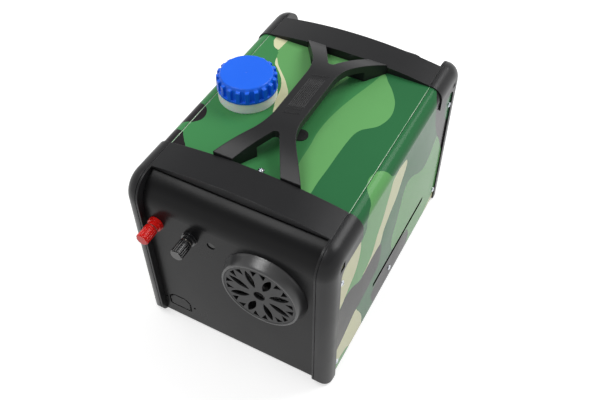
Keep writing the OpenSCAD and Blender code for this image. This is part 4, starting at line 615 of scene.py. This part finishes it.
for end_y in pip_ends:
    for row in range(2):
        for i in range(10):
            x = (i - 4.5) * pip_pitch + 0.9 * row
            y = end_y + grip_slant * x - 1.5 * row * (1 if end_y < 0 else -1)
            pip = bmesh.ops.create_uvsphere(grip_mesh, u_segments=8, v_segments=5, radius=pip_radius / 1000)
            bmesh.ops.translate(grip_mesh, verts=pip["verts"], vec=Vector((x, y, grip_top - 0.15)) / 1000)
grip = add_piece("handle_grip_ribs", grip_mesh, handle_moulding)
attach(grip, "case")

# Screws
# Zinc plated pan head screws with a cross recess hold the sheets and the handle. They are
# cold headed and barrel plated, so the zinc is a little cloudy and the recess stays darker.


def plated(name, bright, dull, rough=(0.22, 0.4), scale=160.0):
    material, tree, output = new_material(name)
    rim = softened(tree, 0.0003, 0.6)
    skin = grained(tree, scale * 10, 0.2, *rough)
    haze = noise(tree, scale, 6.0)
    mask = put(tree, "ShaderNodeMapRange", [("Value", haze.outputs["Fac"]), ("From Min", 0.35), ("From Max", 0.65)])
    tint = blend(tree, mask.outputs[0], dull + (1,), bright + (1,))
    bump = put(tree, "ShaderNodeBump", [("Strength", 0.12), ("Distance", 0.0001),
                                        ("Height", skin.outputs["Height"]), ("Normal", rim.outputs["Normal"])])
    cover(tree, output, [("Base Color", tint), ("Metallic", 1.0), ("Roughness", skin.outputs["Roughness"]),
                         ("Normal", bump.outputs[0])])
    return material


zinc = plated("zinc_plate", (0.78, 0.80, 0.84), (0.34, 0.37, 0.42), rough=(0.12, 0.26), scale=420.0)
dress(zinc, "top_screws", "side_screws", "handle_screws")

# Panel grommet and jack plug
# Two soft rubber parts: a blind grommet pressed into the top sheet, and the cap in the
# controller jack beside the posts. Both are moulded, with a dull skin that holds dust.
soft_rubber = moulded("soft_rubber", (0.008, 0.008, 0.008), (0.02, 0.02, 0.02), size=2200.0, depth=0.3,
                      rough=(0.5, 0.66), radius=0.0004, wear_and_highlight_amount=0.2, specular=0.35)
dress(soft_rubber, "panel_grommet")
jack_rubber = moulded("jack_rubber", (0.004, 0.004, 0.004), (0.012, 0.012, 0.012), size=2200.0, depth=0.2,
                      rough=(0.2, 0.34), radius=0.0005, wear_and_highlight_amount=0.2, specular=0.4)
dress(jack_rubber, "jack_plug")

# Warm air outlet and cold air intake
# A flared ring clips into each end plate and holds a grille of lens-shaped petals. Both are
# moulded in black nylon with a satin skin, smoother on the flare than on the grille.
flare_nylon = moulded("flare_nylon", (0.030, 0.030, 0.031), (0.06, 0.06, 0.062), size=1100.0, depth=0.35,
                      rough=(0.27, 0.37), radius=0.0008, wear_and_highlight_amount=0.3, specular=0.85)
dress(flare_nylon, "outlet_collar", "intake_collar")


# Turns a profile round the outlet's axis: each pair is a radius and a height over the plate
def flare_ring(name, node, centre, facing):
    base = [(49.0, 0.02), (48.9, 0.7), (48.4, 1.5), (47.6, 3.6), (46.8, 6.0), (46.0, 8.4), (45.2, 10.6), (44.5, 12.0),
            (44.0, 12.7), (43.3, 13.0), (42.4, 13.0), (41.9, 12.8), (41.7, 12.2), (41.7, 10.4), (38.9, 10.4),
            (38.9, -9.0), (41.2, -9.0), (41.2, 0.02)]
    ring = bmesh.new()
    turns = 96
    loops = [[ring.verts.new(Vector((centre[0] + r * math.cos(i * math.tau / turns), centre[1] + facing * h,
                                     centre[2] + r * math.sin(i * math.tau / turns))) / 1000) for r, h in base]
             for i in range(turns)]
    for i in range(turns):
        a, b = loops[i - 1], loops[i]
        for j in range(len(base)):
            k = (j + 1) % len(base)
            ring.faces.new((a[j], a[k], b[k], b[j]))
    piece = add_piece(name, ring, flare_nylon, sharp=40)
    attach(piece, "case")
    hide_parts(node)


flare_ring("outlet_flare_ring", "outlet_collar", (41.8, -165.5, 141.8), -1)
grille_nylon = moulded("grille_nylon", (0.021, 0.021, 0.022), (0.035, 0.035, 0.036), size=1300.0, depth=0.35,
                       rough=(0.32, 0.44), radius=0.0005, wear_and_highlight_amount=0.3, specular=0.35)
dress(grille_nylon, "outlet_grille", "intake_grille")

# Power posts
# Two binding posts for the battery leads, red and black. Body and knurled knob are glossy
# phenolic mouldings on a brass stud that is nickel plated; washers and nuts are plated too.
red_gloss = moulded("red_gloss", (0.68, 0.010, 0.007), (0.78, 0.06, 0.04), size=500.0, depth=0.1,
                    rough=(0.16, 0.26), radius=0.0004, wear_and_highlight_amount=0.3, specular=0.3, coat=0.12)
black_gloss = moulded("black_gloss", (0.007, 0.007, 0.008), (0.03, 0.03, 0.03), size=500.0, depth=0.1,
                      rough=(0.14, 0.24), radius=0.0004, wear_and_highlight_amount=0.3, specular=0.5, coat=0.3)
dress(red_gloss, "red_post_body", "red_knob")
dress(black_gloss, "black_post_body", "black_knob")
nickel = plated("nickel_plate", (0.66, 0.62, 0.55), (0.5, 0.47, 0.42), rough=(0.14, 0.28))
dress(nickel, "post_studs", "post_nuts", "red_washer", "black_washer")
insulator_nylon = moulded("insulator_nylon", (0.55, 0.54, 0.48), (0.7, 0.69, 0.62), size=900.0, depth=0.2,
                          rough=(0.4, 0.5), radius=0.0003, wear_and_highlight_amount=0.2)
dress(insulator_nylon, "post_insulators")

# Fuel tank and neck
# A blow moulded tank of natural polyethylene, milky and slightly waxy, stands on the left
# of the pan. Its neck comes up through the top sheet, and steel straps hold it down.


def milky(name, colour, shade, rough=(0.32, 0.46), scatter=0.25):
    material, tree, output = new_material(name)
    skin = grained(tree, 260.0, 0.3, *rough)
    rim = softened(tree, 0.0008, 0.4)
    tint = blend(tree, skin.outputs["Patch"], colour + (1,), shade + (1,))
    bump = put(tree, "ShaderNodeBump", [("Strength", 0.1), ("Distance", 0.0003),
                                        ("Height", skin.outputs["Height"]), ("Normal", rim.outputs["Normal"])])
    cover(tree, output, [("Base Color", tint), ("Roughness", skin.outputs["Roughness"]),
                         ("Subsurface Weight", scatter), ("Subsurface Scale", 0.004), ("Normal", bump.outputs[0])])
    return material


natural_poly = milky("natural_polyethylene", (0.93, 0.94, 0.93), (0.87, 0.88, 0.88))
dress(natural_poly, "fuel_tank")
strap_zinc = plated("strap_zinc", (0.5, 0.51, 0.5), (0.3, 0.31, 0.32), rough=(0.3, 0.48), scale=40.0)
dress(strap_zinc, "tank_straps")

# Fuel cap and seal
# A screw cap moulded in bright blue polypropylene, with thick square ribs round its skirt
# and a small gate mark in the middle of the top. A flat rubber seal lies inside.
cap_blue, tree, output = new_material("cap_blue")
skin = grained(tree, 700.0, 0.25, 0.26, 0.38)
rim = softened(tree, 0.0009, 0.3)
where = put(tree, "ShaderNodeTexCoord")
split = put(tree, "ShaderNodeSeparateXYZ", [(0, where.outputs["Object"])])
flat = put(tree, "ShaderNodeCombineXYZ", [(0, split.outputs[0]), (1, split.outputs[1])])
reach = put(tree, "ShaderNodeVectorMath", [(0, flat.outputs[0]), (1, (neck_x / 1000, 0, 0))], operation="DISTANCE")
gate = put(tree, "ShaderNodeMapRange", [("Value", reach.outputs["Value"]), ("From Min", 0.0006),
                                        ("From Max", 0.0016)], interpolation_type="SMOOTHSTEP")
flow = blend(tree, skin.outputs["Patch"], (0.003, 0.108, 0.74, 1), (0.004, 0.132, 0.83, 1))
# Edges lighten to a paler blue: partly rubbed wear, partly a painted highlight
tint = blend(tree, rim.outputs["Wear And Highlight"], flow, (0.05, 0.25, 0.95, 1))
mark = put(tree, "ShaderNodeBump", [("Strength", 0.6), ("Distance", 0.0004), ("Height", gate.outputs[0]),
                                    ("Normal", rim.outputs["Normal"])])
bump = put(tree, "ShaderNodeBump", [("Strength", 0.12), ("Distance", 0.0002), ("Height", skin.outputs["Height"]),
                                    ("Normal", mark.outputs[0])])
cover(tree, output, [("Base Color", tint), ("Roughness", skin.outputs["Roughness"]), ("Specular IOR Level", 0.35),
                     ("Normal", bump.outputs[0])])
dress(cap_blue, "fuel_cap")
cad_cap = [v.co * 1000 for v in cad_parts["fuel_cap"].data.vertices]
cap_foot = min(v.z for v in cad_cap)
cap_crown = max(v.z for v in cad_cap)
cap_bore = min(math.hypot(v.x - neck_x, v.y) for v in cad_cap if v.z < cap_foot + 0.1)
cap_edge = max(math.hypot(v.x - neck_x, v.y) for v in cad_cap)
cap_ceiling = cap_crown - 9.2
cap_ribs = 20
# Each row of the cap: height, radius between the ribs and radius on the ribs
cap_rows = [(cap_ceiling, cap_bore, cap_bore), (cap_foot, cap_bore, cap_bore),
            (cap_foot, cap_edge - 0.5, cap_edge - 0.5), (cap_foot + 2.4, cap_edge - 0.5, cap_edge - 0.5),
            (cap_foot + 2.8, cap_edge - 3.2, cap_edge - 0.6), (cap_crown - 4.0, cap_edge - 3.8, cap_edge - 0.8),
            (cap_crown - 3.2, cap_edge - 4.0, cap_edge - 1.6), (cap_crown - 2.6, cap_edge - 4.2, cap_edge - 3.9),
            (cap_crown - 0.8, cap_edge - 4.8, cap_edge - 4.8), (cap_crown, cap_edge - 5.8, cap_edge - 5.8)]
cap_mesh = bmesh.new()
cap_turns = []
for i in range(cap_ribs):
    for part, proud in ((0.0, False), (0.46, False), (0.52, True), (0.94, True)):
        angle = math.tau * (i + part) / cap_ribs
        profile = [(z, tooth if proud else root) for z, root, tooth in cap_rows]
        places = [Vector((neck_x + r * math.cos(angle), r * math.sin(angle), z)) / 1000 for z, r in profile]
        cap_turns.append([cap_mesh.verts.new(v) for v in places])
for i, a in enumerate(cap_turns):
    b = cap_turns[i - 1]
    for j in range(len(cap_rows) - 1):
        cap_mesh.faces.new((a[j], a[j + 1], b[j + 1], b[j]))
cap_mesh.faces.new([row[-1] for row in cap_turns])
cap_mesh.faces.new([row[0] for row in reversed(cap_turns)])
ribbed_cap = add_piece("ribbed_cap", cap_mesh, cap_blue, sharp=30)
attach(ribbed_cap, "cap")
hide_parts("fuel_cap")
dress(soft_rubber, "cap_seal")

# Fuel standpipe, pump, filter and lines
# A steel standpipe dips into the tank. A pulse pump in a rubber clamp doses the fuel through
# a clear filter and green nylon lines to the burner.
drawn_steel = plated("drawn_steel", (0.58, 0.59, 0.6), (0.42, 0.43, 0.45), rough=(0.2, 0.34), scale=90.0)
dress(drawn_steel, "fuel_standpipe", "pump_body", "pump_plunger")
dress(soft_rubber, "pump_mount")
line_nylon = moulded("line_nylon", (0.05, 0.16, 0.07), (0.1, 0.25, 0.12), size=300.0, depth=0.1,
                     rough=(0.18, 0.3), radius=0.0003, wear_and_highlight_amount=0.2, coat=0.2)
dress(line_nylon, "suction_line", "pressure_line")
filter_case = milky("filter_case", (0.72, 0.7, 0.6), (0.62, 0.6, 0.5), rough=(0.14, 0.24), scatter=0.15)
dress(filter_case, "fuel_filter")

# Heater
# The heater proper stands on the right of the pan: a cast alloy exchanger with its burner
# tube and glow plug, the fan motor with two fans, and the control board, in a split shell.
cast_skin, tree, output = new_material("cast_alloy_skin")
sand = noise(tree, 900.0, 4.0)
stain = noise(tree, 22.0, 5.0)
tint = put(tree, "ShaderNodeValToRGB", [(0, stain.outputs["Fac"])])
tint.color_ramp.elements[0].color = (0.30, 0.30, 0.31, 1)
tint.color_ramp.elements[1].color = (0.50, 0.50, 0.50, 1)
shine = put(tree, "ShaderNodeMapRange", [("Value", stain.outputs["Fac"]), ("To Min", 0.42), ("To Max", 0.6)])
bump = put(tree, "ShaderNodeBump", [("Strength", 0.35), ("Distance", 0.0002), ("Height", sand.outputs["Fac"])])
cover(tree, output, [("Base Color", tint.outputs[0]), ("Metallic", 1.0), ("Roughness", shine.outputs[0]),
                     ("Normal", bump.outputs[0])])
dress(cast_skin, "heat_exchanger", "combustion_fan")
tempered = plated("tempered_steel", (0.5, 0.42, 0.34), (0.26, 0.24, 0.28), rough=(0.3, 0.5), scale=30.0)
dress(tempered, "combustion_tube", "exhaust_pipe")
dress(drawn_steel, "glow_plug", "motor_shaft")
shell_nylon = moulded("shell_nylon", (0.02, 0.02, 0.021), (0.05, 0.05, 0.05), size=800.0, rough=(0.42, 0.55))
dress(shell_nylon, "heater_shell_lower", "heater_shell_upper", "blower_fan")
motor_can = plated("motor_can", (0.48, 0.49, 0.5), (0.36, 0.37, 0.38), rough=(0.25, 0.4), scale=60.0)
dress(motor_can, "heater_motor")
dress(soft_rubber, "heater_gasket", "combustion_air_pipe")
bracket_zinc = plated("bracket_zinc", (0.52, 0.5, 0.4), (0.4, 0.39, 0.33), rough=(0.3, 0.44), scale=50.0)
dress(bracket_zinc, "heater_bracket")
duct_alloy = plated("duct_alloy", (0.6, 0.6, 0.6), (0.5, 0.5, 0.5), rough=(0.3, 0.45), scale=120.0)
dress(duct_alloy, "air_ducts")

# Control board
# A glass fibre board under a green solder mask, with copper tracks that show through it as
# paler lines and a row of tinned pads. It lies along the motor in the heater's shell.
board_mask, tree, output = new_material("board_mask")
where = put(tree, "ShaderNodeTexCoord")
tracks = put(tree, "ShaderNodeTexBrick", [("Vector", where.outputs["Object"]), ("Scale", 160.0),
                                          ("Color1", (0, 0, 0, 1)), ("Color2", (0, 0, 0, 1)),
                                          ("Mortar", (1, 1, 1, 1)), ("Mortar Size", 0.06)])
pads = put(tree, "ShaderNodeTexVoronoi", [("Vector", where.outputs["Object"]), ("Scale", 240.0)])
dots = put(tree, "ShaderNodeMapRange", [("Value", pads.outputs["Distance"]), ("From Min", 0.16), ("From Max", 0.12)])
tint = blend(tree, tracks.outputs["Color"], (0.008, 0.075, 0.022, 1), (0.02, 0.16, 0.05, 1))
tinned = blend(tree, dots.outputs[0], tint, (0.5, 0.5, 0.48, 1))
bump = put(tree, "ShaderNodeBump", [("Strength", 0.2), ("Distance", 0.0001), ("Height", tracks.outputs["Color"])])
cover(tree, output, [("Base Color", tinned), ("Metallic", dots.outputs[0]), ("Roughness", 0.32),
                     ("Normal", bump.outputs[0])])
dress(board_mask, "control_board")

# Base pan and feet
# A folded steel pan, powder coated black, closes the bottom and carries heater and tank. Its
# coat is duller than the plates', with scuffs from handling. Four rubber feet are under it.
pan_coat = moulded("pan_coat", (0.018, 0.018, 0.019), (0.07, 0.07, 0.07), size=380.0, depth=0.5,
                   rough=(0.42, 0.58), radius=0.0004, wear_and_highlight_amount=0.6, specular=0.35)
dress(pan_coat, "base_pan")
dress(soft_rubber, "rubber_feet")

# Control console
# A moulded housing on the rear plate holds a smoked display window and four silicone keys.
# Each key carries a small printed mark: a ring, an arrow up, an arrow down and a bar.
console_moulding = moulded("console_moulding", (0.012, 0.012, 0.013), (0.035, 0.035, 0.036), size=1400.0,
                           rough=(0.32, 0.44), radius=0.0008, wear_and_highlight_amount=0.3, specular=0.4)
dress(console_moulding, "console_housing")
smoked, tree, output = new_material("smoked_window")
smear = noise(tree, 45.0, 6.0)
shine = put(tree, "ShaderNodeMapRange", [("Value", smear.outputs["Fac"]), ("To Min", 0.03), ("To Max", 0.12)])
shade = blend(tree, smear.outputs["Fac"], (0.004, 0.006, 0.008, 1), (0.010, 0.013, 0.016, 1))
cover(tree, output, [("Base Color", shade), ("Roughness", shine.outputs[0]), ("Coat Weight", 0.5),
                     ("Coat Roughness", 0.03)])
dress(smoked, "display_lens")
key_silicone = moulded("key_silicone", (0.03, 0.03, 0.032), (0.06, 0.06, 0.06), size=1800.0, depth=0.25,
                       rough=(0.45, 0.6), radius=0.0004, wear_and_highlight_amount=0.2)
dress(key_silicone, "button_power", "button_up", "button_low", "button_mode")
key_print = moulded("key_print", (0.42, 0.43, 0.44), (0.36, 0.37, 0.38), size=2600.0, depth=0.15,
                    rough=(0.45, 0.6), radius=0.0002, wear_and_highlight_amount=0.2)
lean = math.radians(35)
mark_sunk, mark_proud = -0.05, 0.06
key_out = Vector((0, math.cos(lean), math.sin(lean)))
key_up = Vector((0, -math.sin(lean), math.cos(lean)))
key_side = Vector((-1, 0, 0))
ring_turns = [2 * math.pi * i / 32 for i in range(32)]
key_marks = {
    "power": [[(0.55 * math.cos(a) * k, 0.55 * math.sin(a) * k) for k in (2.9, 3.9)] for a in ring_turns],
    "up": [[(-1.9, -1.1), (1.9, -1.1)], [(-0.05, 1.7), (0.05, 1.7)]],
    "low": [[(-0.05, -1.7), (0.05, -1.7)], [(-1.9, 1.1), (1.9, 1.1)]],
    "mode": [[(-1.9, -0.45), (1.9, -0.45)], [(-1.9, 0.45), (1.9, 0.45)]],
}
for key, rungs in key_marks.items():
    button = bpy.data.objects["button_" + key]
    points = [button.matrix_world @ v.co for v in button.data.vertices]
    reach = max(key_out.dot(v) for v in points)
    crown = [v for v in points if key_out.dot(v) > reach - 0.00002]
    middle = sum(crown, Vector()) / len(crown)
    mark_mesh = bmesh.new()
    rows = [[mark_mesh.verts.new(middle + (key_side * x + key_up * y + key_out * lift) / 1000)
             for x, y in rung for lift in (mark_sunk, mark_proud)] for rung in rungs]
    loop = rows + rows[:1] if key == "power" else rows
    for a, b in zip(loop, loop[1:]):
        for j, k in ((0, 1), (1, 3), (3, 2), (2, 0)):
            mark_mesh.faces.new((a[j], a[k], b[k], b[j]))
    if key != "power":
        mark_mesh.faces.new([rows[0][j] for j in (0, 1, 3, 2)])
        mark_mesh.faces.new([rows[-1][j] for j in (0, 2, 3, 1)])
    mark_piece = add_piece("key_mark_" + key, mark_mesh, key_print, smooth=False)
    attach(mark_piece, "key_" + key)
